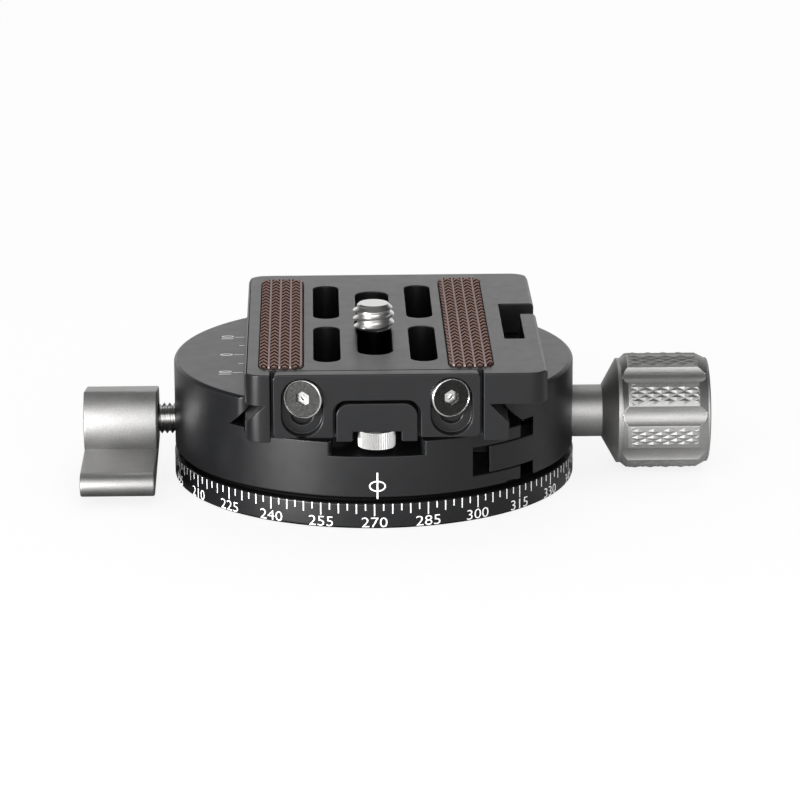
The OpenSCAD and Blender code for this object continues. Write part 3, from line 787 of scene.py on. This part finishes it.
class CLAMP_OT_index(PieceOperator, bpy.types.Operator):
    """Models the index mark on the body's front and the ruler on its left jaw"""

    bl_idname = "clamp.index"
    bl_label = "Index and ruler"

    # The index mark, in millimetres: its line's ends and width, and its ring
    line_low = 4.62
    line_high = 8.64
    line_w = 0.24
    ring_z = 6.57
    ring_half_w = 1.24
    ring_half_h = 0.84
    ring_stroke = 0.2
    ring_thick = 0.05

    # The ruler's ticks along Y, each with its number, or none
    ruler = ((10.6, "10"), (5.6, ""), (0.3, "0"), (-4.9, ""), (-10.0, "10"))
    tick_start = -19.9
    short_end = -20.66
    long_end = -21.44
    tick_half_w = 0.09
    number_x = -22.55
    number_h = 1.95
    number_wide = 0.9
    number_thick = 0.04
    number_sunk = 0.02

    def execute(self, context):
        self.mark(sizes().ink / MM)
        self.scale(sizes().ink / MM)
        return {"FINISHED"}

    def mark(self, ink):
        """The index mark: an upright line through a flat ring"""
        half_w, half_h = self.ring_half_w, self.ring_half_h
        middle = (0, 0, self.ring_z * MM)
        let_go()
        bpy.ops.mesh.primitive_circle_add(
            vertices=48, radius=half_w * MM, location=middle, rotation=(math.pi / 2, 0, 0)
        )
        bpy.context.object.scale = (1, half_h / half_w, 1)
        ring = started("index_ring")
        open_up(ring, "EDGE")
        bpy.ops.mesh.extrude_edges_move()
        inner = (1 - self.ring_stroke / half_w, 1, 1 - self.ring_stroke / half_h)
        bpy.ops.transform.resize(value=inner, center_override=middle)
        bpy.ops.mesh.select_all(action="SELECT")
        bpy.ops.mesh.normals_make_consistent(inside=False)
        bpy.ops.object.mode_set(mode="OBJECT")
        modified(ring, "SOLIDIFY", thickness=self.ring_thick * MM, offset=0)
        line = block(
            "index_line", (-self.line_w / 2, -ink, self.line_low),
            (self.line_w / 2, MARK_SUNK, self.line_high)
        )
        mark = joined("index_mark", [ring, line])
        wrapped(mark, BODY_HIGH.y, 270)
        finished(mark, "turntable", "black_anodised", mark_finish())

    def scale(self, ink):
        """The ruler on top of the left jaw"""
        top = BODY_HIGH.z / MM
        pieces = []
        for y, label in self.ruler:
            end = self.long_end if label else self.short_end
            pieces.append(block(
                "ruler_tick", (end, y - self.tick_half_w, top - MARK_SUNK),
                (self.tick_start, y + self.tick_half_w, top + ink)
            ))
            if label:
                number = written(
                    "ruler_number", label, self.number_h * MM, self.number_thick * MM,
                    self.number_wide
                )
                height = BODY_HIGH.z + (ink - self.number_sunk) * MM
                moved(number, (self.number_x * MM, y * MM, height), (0, 0, 90))
                pieces.append(number)
        ruler = joined("jaw_ruler", pieces)
        finished(ruler, "turntable", "black_anodised", mark_finish())


class CLAMP_OT_jaw(PieceOperator, bpy.types.Operator):
    """Models the moving jaw"""

    bl_idname = "clamp.jaw"
    bl_label = "Moving jaw"

    def execute(self, context):
        black_piece("sliding_jaw", "moving_jaw", "jaw", sizes().edge)
        return {"FINISHED"}


class CLAMP_OT_knob(PieceOperator, bpy.types.Operator):
    """Models the knob's turned body with its flutes, and its knurled pads"""

    bl_idname = "clamp.knob"
    bl_label = "Clamp knob"

    # In millimetres, with the first flute's angle in degrees
    flutes = 8
    first_flute = -99
    flute_r = 2.4
    flute_floor = 8.1
    flute_low = 7.9
    flute_high = 21.4
    # Height and radius from the shoulder to the outer end
    rings = (
        (0, 3.9), (0.1, 4.0), (5.23, 4.0), (7.45, 7.95), (7.5, 8.05), (8.05, 8.06), (8.1, 8.02),
        (8.94, 8.78), (19.74, 8.78), (21.15, 8.0), (21.2, 8.03), (21.42, 8.03), (21.55, 7.85),
        (21.6, 7.5), (21.63, 5.0), (21.63, 1.2),
    )
    broken = 0.07
    pad_r = 9.0
    pad_l = 10.8
    pad_arc = 3.86
    pad_start = 9.06
    pad_skirt = 0.25
    pad_broken = 0.03
    # For a quarter, a half and a whole of a diamond: the least and the most of its face's
    # share of a whole one, and the share of the knurl's depth that its point stands up
    points = ((0.0, 0.3, 0.25), (0.4, 0.6, 0.5), (0.9, 1.1, 1.0))

    def execute(self, context):
        grey = grey_finish()
        core = turned("knob_body", self.rings, 144)
        flute = turned(
            "flute", [(self.flute_low, self.flute_r), (self.flute_high, self.flute_r)], 96
        )
        moved(flute, ((self.flute_floor + self.flute_r) * MM, 0, 0))
        step = 360 / self.flutes
        for index in range(self.flutes):
            copy = twin(flute, "flute_copy")
            cut(core, moved(copy, (0, 0, 0), (0, 0, self.first_flute + index * step)))
        bpy.data.objects.remove(flute, do_unlink=True)
        softened(core, self.broken * MM, limit=24)
        along_x(core, KNOB_LOW.x, KNOB_Z)
        finished(core, "knob", "titanium_anodised", grey, node="clamp_knob")
        pad = self.knurl()
        for index in range(self.flutes):
            copy = twin(pad, "knurl_pad_%d" % (index + 1))
            moved(copy, (0, 0, 0), (0, 0, self.first_flute + (index + 0.5) * step))
            along_x(copy, KNOB_LOW.x, KNOB_Z)
            finished(copy, "knob", "titanium_anodised", grey)
        bpy.data.objects.remove(pad, do_unlink=True)
        return {"FINISHED"}

    def knurl(self):
        """One pad of pointed diamonds, bent round the knob's axis at the angle zero"""
        size = sizes()
        half_l = self.pad_l / 2 * MM
        half_w = self.pad_arc / 2 * MM
        let_go()
        bpy.ops.mesh.primitive_plane_add(size=2)
        bpy.context.object.scale = (half_l, half_w, 1)
        pad = started("knurl_pad")
        slope = size.knurl_w / size.knurl_l
        shift = size.knurl_l / 4
        lines = int((half_w + half_l * slope) / size.knurl_w) + 1
        for lean in (-slope, slope):
            for index in range(-lines, lines + 1):
                open_up(pad)
                level = index * size.knurl_w + size.knurl_w / 2
                bpy.ops.mesh.bisect(plane_co=(shift, level, 0), plane_no=(lean, 1, 0))
        open_up(pad)
        bpy.ops.mesh.remove_doubles(threshold=0.01 * MM)
        whole = size.knurl_l * size.knurl_w / 2
        for least, most, height in self.points:
            pick(pad, "FACE", lambda face: least < face.calc_area() / whole < most)
            bpy.ops.mesh.poke(offset=height * size.knurl_d)
        pick(pad, "EDGE", lambda edge: edge.is_boundary)
        skirt = (0, 0, -self.pad_skirt * MM)
        bpy.ops.mesh.extrude_edges_move(TRANSFORM_OT_translate={"value": skirt})
        bpy.ops.mesh.edge_face_add()
        close_up()
        floor = self.pad_r * MM - size.knurl_d
        for point in pad.data.vertices:
            angle = point.co.y / (self.pad_r * MM)
            out = floor + point.co.z
            long = point.co.x + half_l + self.pad_start * MM
            point.co = (out * math.cos(angle), out * math.sin(angle), long)
        softened(pad, self.pad_broken * MM, segments=1, limit=12)
        return pad


class CLAMP_OT_lever(PieceOperator, bpy.types.Operator):
    """Models the lock lever"""

    bl_idname = "clamp.lever"
    bl_label = "Lock lever"

    def execute(self, context):
        lever = machined("lever", "lock_lever")
        sharp = math.radians(32)
        open_up(lever, "EDGE", False)
        pick(lever, "EDGE", lambda edge: edge.is_convex and edge.calc_face_angle(0) > sharp)
        bpy.ops.mesh.bevel(
            offset=sizes().lever_edge, segments=4, affect="EDGES", clamp_overlap=False
        )
        bpy.ops.object.mode_set(mode="OBJECT")
        smoothed(lever, 28)
        finished(lever, "lever", "titanium_anodised", grey_finish(), node="lock_lever")
        return {"FINISHED"}


class CLAMP_OT_threads(PieceOperator, bpy.types.Operator):
    """Models the threaded lock stud and the tripod thread's insert"""

    bl_idname = "clamp.threads"
    bl_label = "Threaded parts"

    # In millimetres
    chamfer = 0.3
    stud_depth = 0.42
    tap_r = 4.72
    tap_depth = 0.75
    lead = ((-0.2, 5.05), (0.6, 4.2))

    def execute(self, context):
        self.stud()
        self.insert()
        return {"FINISHED"}

    def stud(self):
        """The stud that the lever turns"""
        stud = threaded(
            "threaded_stud", (STUD_HIGH.z - STUD_LOW.z) / 2 / MM, self.stud_depth,
            sizes().stud_pitch / MM, (STUD_HIGH.x - STUD_LOW.x) / MM,
            tip=self.chamfer, foot=self.chamfer, count=48
        )
        smoothed(stud, 40)
        along_x(stud, STUD_LOW.x, STUD_Z)
        steel = steel_finish("stud steel", (0, 0, STUD_Z), (0, 90, 0), 0.24)
        finished(stud, "lever", "stainless", steel, node="lock_stud")

    def insert(self):
        """The threaded sleeve for the tripod's screw"""
        outer = INSERT_HIGH.x / MM
        tall = INSERT_HIGH.z / MM
        rings = [(0, outer - self.chamfer), (self.chamfer, outer), (tall, outer)]
        sleeve = turned("tripod_insert", rings, 96)
        tap = threaded("tap", self.tap_r, self.tap_depth, sizes().tripod_pitch / MM, tall + 2)
        cut(sleeve, moved(tap, (0, 0, -MM)))
        cut(sleeve, turned("lead", self.lead, 72))
        smoothed(sleeve, 35)
        steel = steel_finish("insert steel")
        finished(sleeve, "base", "stainless", steel, node="thread_insert")


class CLAMP_OT_plate(PieceOperator, bpy.types.Operator):
    """Models the quick-release plate and its flange"""

    bl_idname = "clamp.plate"
    bl_label = "Plate and flange"

    def execute(self, context):
        black_piece("quick_plate", "plate_body", "plate", sizes().edge)
        black_piece("flange", "anti_twist_flange", "flange", sizes().edge)
        return {"FINISHED"}


class CLAMP_OT_grips(PieceOperator, bpy.types.Operator):
    """Models the two grip pads with their ribs and chevrons"""

    bl_idname = "clamp.grips"
    bl_label = "Grip pads"

    # In millimetres
    corner_r = 1.6
    trim = 0.1
    rib_w = 0.3
    rib_gap = 0.02
    arm_rise = 1.45
    bar = 0.95
    row_start = -3.2
    sunk = 0.2
    # The ribs and chevrons end a little apart, below the base's top and at their own tops
    rib_foot = 0.1
    chevron_foot = 0.08
    chevron_drop = 0.02
    base_broken = 0.08
    rib_broken = 0.06
    chevron_broken = 0.04
    # Share of the brown left in the grooves and on the chevrons' sides, as painted shade
    groove_tone = 0.12
    # The middles of the light ribs along X
    ribs = {
        "grip_pad_left": (-15.79, -14.23, -12.64, -11.06),
        "grip_pad_right": (11.41, 12.98, 14.5, 16.07),
    }

    def execute(self, context):
        brown = rubber_finish("brown rubber", colours().rubber)
        light = rubber_finish("light rubber", colours().rib)
        for node, ribs in self.ribs.items():
            self.pad(node, ribs, brown, light)
        return {"FINISHED"}

    def outline(self, name, node, low_z, high_z, inset):
        """A pad's outline as a block with round corners"""
        low, high = (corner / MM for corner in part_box(node))
        pad = block(
            name, (low.x + inset, low.y + inset, low_z), (high.x - inset, high.y - inset, high_z)
        )
        open_up(pad, "EDGE")
        pick(pad, "EDGE", lambda edge: abs(edge.verts[0].co.z - edge.verts[1].co.z) > 0.1 * MM)
        bpy.ops.mesh.bevel(offset=(self.corner_r - inset) * MM, segments=8)
        bpy.ops.object.mode_set(mode="OBJECT")
        return pad

    def pad(self, node, ribs, brown, light):
        """One pad: its base, the light ribs and the rows of chevrons"""
        size = sizes()
        low, high = (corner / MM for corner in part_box(node))
        floor = high.z - size.chevron_h / MM
        base = self.outline(node.replace("grip_pad", "pad_base"), node, low.z, floor, 0)
        softened(base, self.base_broken * MM)
        # Painted shade: the pad's base, which is the floor of the grooves, gets the dark rubber
        shade = [part * self.groove_tone for part in colours().rubber]
        dark = rubber_finish("painted groove shade rubber", shade)
        finished(base, "plate", "grip_rubber", dark, node=node)

        bars = [
            block(
                "rib", (x - self.rib_w / 2, low.y - 1, floor - self.sunk),
                (x + self.rib_w / 2, high.y + 1, high.z)
            )
            for x in ribs
        ]
        bars = joined(node.replace("grip_pad", "pad_ribs"), bars)
        modified(bars, "BEVEL", width=self.rib_broken * MM, segments=1)
        foot = floor - self.rib_foot
        cut(bars, self.outline("frame", node, foot, high.z + 1, self.trim), "INTERSECT")
        smoothed(bars)
        finished(bars, "plate", "grip_rubber", light)

        pitch = ribs[1] - ribs[0]
        edges = [ribs[0] - pitch, *ribs, ribs[-1] + pitch]
        strips = [
            self.chevron(left, right, low.y, floor, high.z - self.chevron_drop)
            for left, right in zip(edges, edges[1:])
        ]
        rows = joined(node.replace("grip_pad", "pad_chevrons"), strips)
        count = int((high.y - low.y) / (size.row_pitch / MM)) + 3
        modified(
            rows, "ARRAY", count=count, use_relative_offset=False, use_constant_offset=True,
            constant_offset_displace=(0, size.row_pitch, 0)
        )
        foot = floor - self.chevron_foot
        cut(rows, self.outline("frame", node, foot, high.z + 1, self.trim), "INTERSECT")
        rows.data.materials.append(brown)
        rows.data.materials.append(dark)
        # Painted shade: the chevrons' sides, which don't face up, get the dark rubber
        for face in rows.data.polygons:
            face.material_index = int(face.normal.z < 0.5)
        softened(rows, self.chevron_broken * MM, segments=1, limit=40, edge_material=0)
        finished(rows, "plate", "grip_rubber")

    def chevron(self, left, right, start, floor, top):
        """One chevron between two ribs, with its point to the rear"""
        middle = (left + right) / 2
        half = (right - left) / 2 - (self.rib_w / 2 + self.rib_gap)
        front = start + self.row_start
        arms = block(
            "chevron", (middle - half, front, floor - self.sunk),
            (middle + half, front + self.bar, top)
        )
        open_up(arms)
        bpy.ops.mesh.bisect(plane_co=(middle * MM, 0, 0), plane_no=(1, 0, 0))
        pick(arms, "VERT", lambda point: abs(point.co.x - middle * MM) < 0.05 * MM)
        bpy.ops.transform.translate(value=(0, self.arm_rise * MM, 0))
        bpy.ops.object.mode_set(mode="OBJECT")
        return arms


def socket_cut(piece, across, depth, face=0):
    """Cuts a hexagon socket into a screw's face, at a height and in along +Z"""
    let_go()
    bpy.ops.mesh.primitive_cylinder_add(
        vertices=6, radius=across / math.sqrt(3) * MM, depth=(depth + 1) * MM,
        location=(0, 0, (face + (depth - 1) / 2) * MM)
    )
    return cut(piece, started("socket"))


class CLAMP_OT_screws(PieceOperator, bpy.types.Operator):
    """Models the flange's button-head screws and the safety screws"""

    bl_idname = "clamp.screws"
    bl_label = "Small screws"

    # In millimetres, apart from the buttons' turn in degrees and the number of ridges.
    # A socket is its width across flats and its depth, and one ring of radii holds the faces in
    # a button's socket, which get the dark steel as painted shade
    shank_r = 1.5
    shank_tip = 0.3
    button_r = 2.95
    button_h = 1.4
    button_socket = (2.0, 0.9)
    button_turn = 17
    rim_step = 0.14
    drill_point = ((0.85, 0.52), (1.35, 0.05))
    sunk_r = (0.62, 1.3)
    safety_head = 3.0
    safety_socket = (2.5, 1.5)
    ridges = 52
    ridge_d = 0.17

    def execute(self, context):
        self.buttons()
        self.safeties()
        return {"FINISHED"}

    def buttons(self):
        """The two button-head screws that hold the flange"""
        low, high = (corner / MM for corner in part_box("flange_screws"))
        long = high.y - low.y
        x = high.x - (high.z - low.z) / 2
        z = (low.z + high.z) / 2
        head_r = self.button_r
        rings = [
            (self.rim_step, head_r - 0.29), (0, head_r - 0.23), (0, head_r - 0.15),
            (0.12, head_r), (self.button_h, head_r), (self.button_h, self.shank_r),
            *self.shank_end(long),
        ]
        screw = turned("button", rings, 96)
        socket_cut(screw, *self.button_socket)
        cut(screw, turned("drill point", self.drill_point, 24))
        screw.data.materials.append(steel_finish("button steel", turn=(90, 0, 0)))
        screw.data.materials.append(grained(
            "etched steel and painted socket shade", colours().steel_dark, rough=0.42, spread=0.3, scale=2600,
            depth=0.03, speckle=0.8, metallic=1.0
        ))
        softened(screw, 0.05 * MM)
        # The etched face is the button's own colour; the faces in the socket get the same dark
        # steel as painted shade
        least, most = (radius * MM for radius in self.sunk_r)
        for face in screw.data.polygons:
            place = face.center
            ground = abs(place.z - self.rim_step * MM) < 0.03 * MM and face.normal.z < -0.9
            sunk = least < place.xy.length < most and place.z > 0.2 * MM
            if ground or sunk:
                face.material_index = 1
        pair = []
        for side in (-1, 1):
            copy = twin(screw, "button_%d" % side)
            place = (side * x * MM, low.y * MM, z * MM)
            pair.append(moved(copy, place, (-90, 0, side * self.button_turn)))
        bpy.data.objects.remove(screw, do_unlink=True)
        screws = joined("flange_button_screws", pair)
        finished(screws, "plate", "stainless", node="flange_screws")

    def shank_end(self, long):
        """The last two rings of a screw that is so long"""
        tip = self.shank_tip
        return (long - tip, self.shank_r), (long, self.shank_r - tip)

    def safeties(self):
        """The two safety screws under the plate's ends, with knurled heads"""
        low, high = (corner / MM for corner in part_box("safety_screws"))
        long = high.z - low.z
        head_r = (high.x - low.x) / 2
        y = high.y - head_r
        tall = self.safety_head
        rings = [
            (0, head_r - 0.35), (0.25, head_r - 0.02), (0.26, head_r), (tall - 0.28, head_r),
            (tall - 0.27, head_r - 0.02), (tall, head_r - 0.3), (tall, self.shank_r),
            *self.shank_end(long),
        ]
        screw = turned("safety", rings, 2 * self.ridges)
        open_up(screw)
        step = TURN / (2 * self.ridges)
        pick(screw, "VERT", lambda point: (
            point.co.xy.length > (head_r - 0.01) * MM
            and round(math.atan2(point.co.y, point.co.x) / step) % 2 == 0
        ))
        inner = (head_r - self.ridge_d) / head_r
        bpy.ops.transform.resize(value=(inner, inner, 1), center_override=(0, 0, 0))
        bpy.ops.object.mode_set(mode="OBJECT")
        socket_cut(screw, *self.safety_socket)
        smoothed(screw, 20)
        steel = steel_finish("safety steel", (0, y * MM, 0), rough=0.3)
        pair = []
        for side in (-1, 1):
            copy = twin(screw, "safety_%d" % side)
            pair.append(moved(copy, (0, side * y * MM, low.z * MM)))
        bpy.data.objects.remove(screw, do_unlink=True)
        screws = joined("knurled_safety_screws", pair)
        finished(screws, "plate", "stainless", steel, node="safety_screws")


class CLAMP_OT_camera_screw(PieceOperator, bpy.types.Operator):
    """Models the camera screw with its thread, neck and slotted head"""

    bl_idname = "clamp.camera_screw"
    bl_label = "Camera screw"

    # In millimetres, with the thread's start in degrees. The socket is its width across
    # flats and its depth
    thread_r = 3.15
    thread_depth = 0.68
    thread_start = 94
    overlap = 0.05
    neck_r = 2.45
    head_r = 5.5
    head_h = 2.7
    head_low_edge = 0.4
    head_high_edge = 0.2
    slot_w = 1.2
    slot_d = 1
    socket = (4, 1.8)
    dark_steel = (0.035, 0.035, 0.036)

    def execute(self, context):
        size = sizes()
        low, high = (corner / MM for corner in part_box("camera_screw"))
        top = PLATE_HIGH.z / MM
        y = (low.y + high.y) / 2
        thread = threaded(
            "thread", self.thread_r, self.thread_depth, size.camera_pitch / MM,
            high.z - top + self.overlap, tip=0.9, foot=0.55, count=96, fine=12
        )
        moved(thread, (0, 0, (top - self.overlap) * MM), (0, 0, self.thread_start))
        head_top = low.z + self.head_h
        head = turned("head", [
            (low.z, self.head_r - self.head_low_edge), (low.z + self.head_low_edge, self.head_r),
            (head_top - self.head_high_edge, self.head_r),
            (head_top, self.head_r - self.head_high_edge), (head_top, self.neck_r),
            (top + 0.3, self.neck_r),
        ], 96)
        reach, half_w = self.head_r + 0.5, self.slot_w / 2
        cut(head, block(
            "coin slot", (-reach, -half_w, low.z - 1), (reach, half_w, low.z + self.slot_d)
        ))
        socket_cut(head, *self.socket, low.z)
        softened(head, 0.06 * MM)
        smoothed(thread, 35)
        bright = steel_finish("thread steel", (0, y * MM, 0), rough=0.34)
        dark = lined(
            "blackened steel", self.dark_steel, rough=0.22, spread=0.1, scale=9000,
            depth=0.002, centre=(0, y * MM, 0)
        )
        thread.data.materials.append(bright)
        head.data.materials.append(dark)
        screw = joined("mounting_screw", [head, thread])
        moved(screw, (0, y * MM, 0))
        finished(screw, "screw", "stainless", node="camera_screw")
        return {"FINISHED"}


class CLAMP_OT_inner(PieceOperator, bpy.types.Operator):
    """Gives the inner solids their finishes"""

    bl_idname = "clamp.inner"
    bl_label = "Inner parts"

    def execute(self, context):
        tone = colours()
        steel = steel_finish("pin steel", (0, 0, KNOB_Z), (0, 90, 0), 0.24)
        bronze = lined(
            "turned bronze", tuple(tone.bronze), rough=0.3, spread=0.12, scale=7000, depth=0.003
        )
        polymer = grained(
            "black polymer", tone.polymer, rough=0.6, spread=0.1, scale=2500, depth=0.01,
            speckle=0.2, specular=0.04
        )
        finishes = {
            "hub": steel_finish("hub steel"),
            "hub_screws": steel_finish("hub screw steel", rough=0.26),
            "lower_washer": polymer,
            "screw_washer": polymer,
            "upper_washer": bronze,
            "knob_washer": bronze,
            "brake_shoe": bronze,
            "spring_plungers": steel,
            "guide_pins": steel,
            "draw_screw": steel,
        }
        for node, material in finishes.items():
            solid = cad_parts[node]
            solid.data.materials.clear()
            solid.data.materials.append(material)
        return {"FINISHED"}


def aimed_light(name, place, target, size, power):
    """A soft rectangular lamp aimed at a point"""
    let_go()
    bpy.ops.object.light_add(type="AREA", location=place)
    lamp = bpy.context.object
    lamp.name = name
    lamp.data.shape = "RECTANGLE"
    lamp.data.size, lamp.data.size_y = size
    lamp.data.energy = power
    lamp.rotation_euler = (Vector(target) - Vector(place)).to_track_quat("-Z", "Y").to_euler()


class CLAMP_OT_stage(PieceOperator, bpy.types.Operator):
    """Sets the floor, the lamps, the surroundings and the camera"""

    bl_idname = "clamp.stage"
    bl_label = "Stage"

    # The camera, fitted to the photograph: its place in millimetres, its angles in
    # radians, the focal length and the picture's width in pixels, and the sensor's width
    eye = (-8.973, -583.955, 177.139)
    yaw = 0.0223
    pitch = 0.2771
    roll = 0.0043
    focal = 3940.0
    picture = 800
    sensor = 36

    # Name, place, size and power of the lamps
    lights = (
        ("key", (-0.5, -0.47, 0.03), (0.3, 0.05), 8.5),
        ("front", (0, -0.64, 0.26), (0.8, 0.6), 3.4),
        ("top", (0, 0.15, 0.9), (0.8, 0.6), 0.2),
        ("back", (0.1, 0.45, 0.6), (0.5, 0.4), 0.9),
    )

    # How the painted shade on the floor and the darker sky that the metal mirrors fade: from
    # where and to where, and from what share to what share
    floor_behind = (-0.03, 0.0, 0.2, 0.95)
    floor_near = (0.03, 0.06, 1.0, 0.3)
    sky_up = (0.28, 0.5, 1.38, 0.05)
    sky_aside = (0.35, 0.8, 1.0, 0.08)

    floor_gap = 0.02 * MM
    floor_slant = 0.45
    floor_glow = 0.85
    soft_light = 0.7

    def execute(self, context):
        self.floor()
        self.lamps()
        self.surroundings()
        self.camera()
        context.scene.view_settings.view_transform = "Standard"
        return {"FINISHED"}

    def floor(self):
        """A pale floor at the part's lowest point, with painted shade behind it in what metal
        mirrors
        """
        let_go()
        height = CAD_BOX[0][2] - self.floor_gap
        bpy.ops.mesh.primitive_plane_add(size=6, location=(0, 0, height))
        ground = started("studio_floor")
        material, tree, surface = new_finish("pale floor")
        paths = put(tree, "ShaderNodeLightPath").outputs
        place = put(tree, "ShaderNodeTexCoord").outputs["Object"]
        axes = put(tree, "ShaderNodeSeparateXYZ", {0: place}).outputs
        slant = reckon(tree, "MULTIPLY", axes[0], self.floor_slant)
        depth = reckon(tree, "SUBTRACT", axes[1], slant)
        behind = faded(tree, depth, *self.floor_behind)
        near = faded(tree, axes[1], *self.floor_near)
        both = reckon(tree, "MULTIPLY", behind, near)
        # Painted shade: in what glossy rays see, the floor's colour is darkened behind and near
        # the part
        reflected_shade = reckon(tree, "MULTIPLY", both, paths["Is Glossy Ray"])
        kept = reckon(tree, "SUBTRACT", 1.0, reflected_shade)
        tone = put(tree, "ShaderNodeVectorMath", {
            0: tuple(colours().floor), "Scale": kept,
        }, operation="SCALE").outputs[0]
        dull = put(tree, "ShaderNodeBsdfDiffuse", {"Color": tone})
        glow = put(tree, "ShaderNodeEmission", {"Color": (1, 1, 1, 1), "Strength": 1.0})
        share = reckon(tree, "MULTIPLY", paths["Is Camera Ray"], self.floor_glow)
        mixed = put(tree, "ShaderNodeMixShader", {
            0: share, 1: dull.outputs[0], 2: glow.outputs[0],
        })
        tree.links.new(mixed.outputs[0], surface)
        ground.data.materials.append(material)

    def lamps(self):
        """A low key from the front left, a broad front lamp, and weak ones above and behind"""
        target = (0, 0, 0.012)
        for name, place, size, power in self.lights:
            aimed_light(name, place, target, size, power)

    def surroundings(self):
        """A white background, with a darker ceiling in what the metal mirrors"""
        scene = bpy.context.scene
        world = bpy.data.worlds.new("studio")
        scene.world = world
        world.use_nodes = True
        tree = world.node_tree
        tree.nodes.clear()
        output = tree.nodes.new("ShaderNodeOutputWorld")
        paths = put(tree, "ShaderNodeLightPath").outputs
        direction = put(tree, "ShaderNodeTexCoord").outputs["Generated"]
        axes = put(tree, "ShaderNodeSeparateXYZ", {0: direction}).outputs
        across = reckon(tree, "ABSOLUTE", axes[0], 0)
        up = faded(tree, axes[2], *self.sky_up)
        aside = faded(tree, across, *self.sky_aside)
        facing = reckon(tree, "MULTIPLY", up, aside)
        glossy = reckon(tree, "MULTIPLY", paths["Is Glossy Ray"], facing)
        seen = reckon(tree, "MAXIMUM", paths["Is Camera Ray"], paths["Is Transmission Ray"])
        soft = reckon(tree, "MULTIPLY", paths["Is Diffuse Ray"], self.soft_light)
        bright = reckon(tree, "MAXIMUM", reckon(tree, "MAXIMUM", seen, glossy), soft)
        background = put(tree, "ShaderNodeBackground", {
            "Color": (1, 1, 1, 1), "Strength": bright,
        })
        tree.links.new(background.outputs[0], output.inputs["Surface"])

    def camera(self):
        """The camera where the photograph was taken from"""
        let_go()
        bpy.ops.object.camera_add()
        camera = bpy.context.object
        camera.name = "camera"
        sin_yaw, cos_yaw = math.sin(self.yaw), math.cos(self.yaw)
        sin_pitch, cos_pitch = math.sin(self.pitch), math.cos(self.pitch)
        forward = Vector((sin_yaw * cos_pitch, cos_yaw * cos_pitch, -sin_pitch))
        right = Vector((cos_yaw, -sin_yaw, 0))
        down = forward.cross(right)
        across = right * math.cos(self.roll) + down * math.sin(self.roll)
        below = down * math.cos(self.roll) - right * math.sin(self.roll)
        axes = Matrix((across, -below, -forward)).transposed()
        camera.matrix_world = Matrix.Translation(Vector(self.eye) * MM) @ axes.to_4x4()
        camera.data.sensor_fit = "HORIZONTAL"
        camera.data.sensor_width = self.sensor
        camera.data.lens = self.focal / self.picture * self.sensor
        camera.data.clip_start = 0.01
        camera.data.clip_end = 50
        bpy.context.scene.camera = camera


PIECES = (
    CLAMP_OT_disc, CLAMP_OT_degrees, CLAMP_OT_body, CLAMP_OT_index, CLAMP_OT_jaw, CLAMP_OT_knob,
    CLAMP_OT_lever, CLAMP_OT_threads, CLAMP_OT_plate, CLAMP_OT_grips, CLAMP_OT_screws,
    CLAMP_OT_camera_screw, CLAMP_OT_inner, CLAMP_OT_stage,
)


class CLAMP_PT_panel(bpy.types.Panel):
    """Lists the clamp's sizes, colours and pieces"""

    bl_idname = "CLAMP_PT_panel"
    bl_label = "Panning clamp"
    bl_space_type = "VIEW_3D"
    bl_region_type = "UI"
    bl_category = "Clamp"

    def draw(self, context):
        column = self.layout.column(align=True)
        for group in (context.scene.clamp_sizes, context.scene.clamp_colours):
            for key in group.bl_rna.properties.keys():
                if key not in {"rna_type", "name"}:
                    column.prop(group, key)
            column.separator()
        for piece in PIECES:
            column.operator(piece.bl_idname)


CLASSES = (ClampSizes, ClampColours, *PIECES, CLAMP_PT_panel)


def register():
    """Registers the classes and the scene's sizes and colours"""
    for item in CLASSES:
        bpy.utils.register_class(item)
    bpy.types.Scene.clamp_sizes = bpy.props.PointerProperty(type=ClampSizes)
    bpy.types.Scene.clamp_colours = bpy.props.PointerProperty(type=ClampColours)


def unregister():
    """Takes them away again"""
    del bpy.types.Scene.clamp_colours
    del bpy.types.Scene.clamp_sizes
    for item in reversed(CLASSES):
        bpy.utils.unregister_class(item)


def main():
    """Builds every piece in order"""
    register()
    for piece in PIECES:
        group, action = piece.bl_idname.split(".")
        getattr(getattr(bpy.ops, group), action)()
    let_go()


if __name__ == "__main__":
    main()
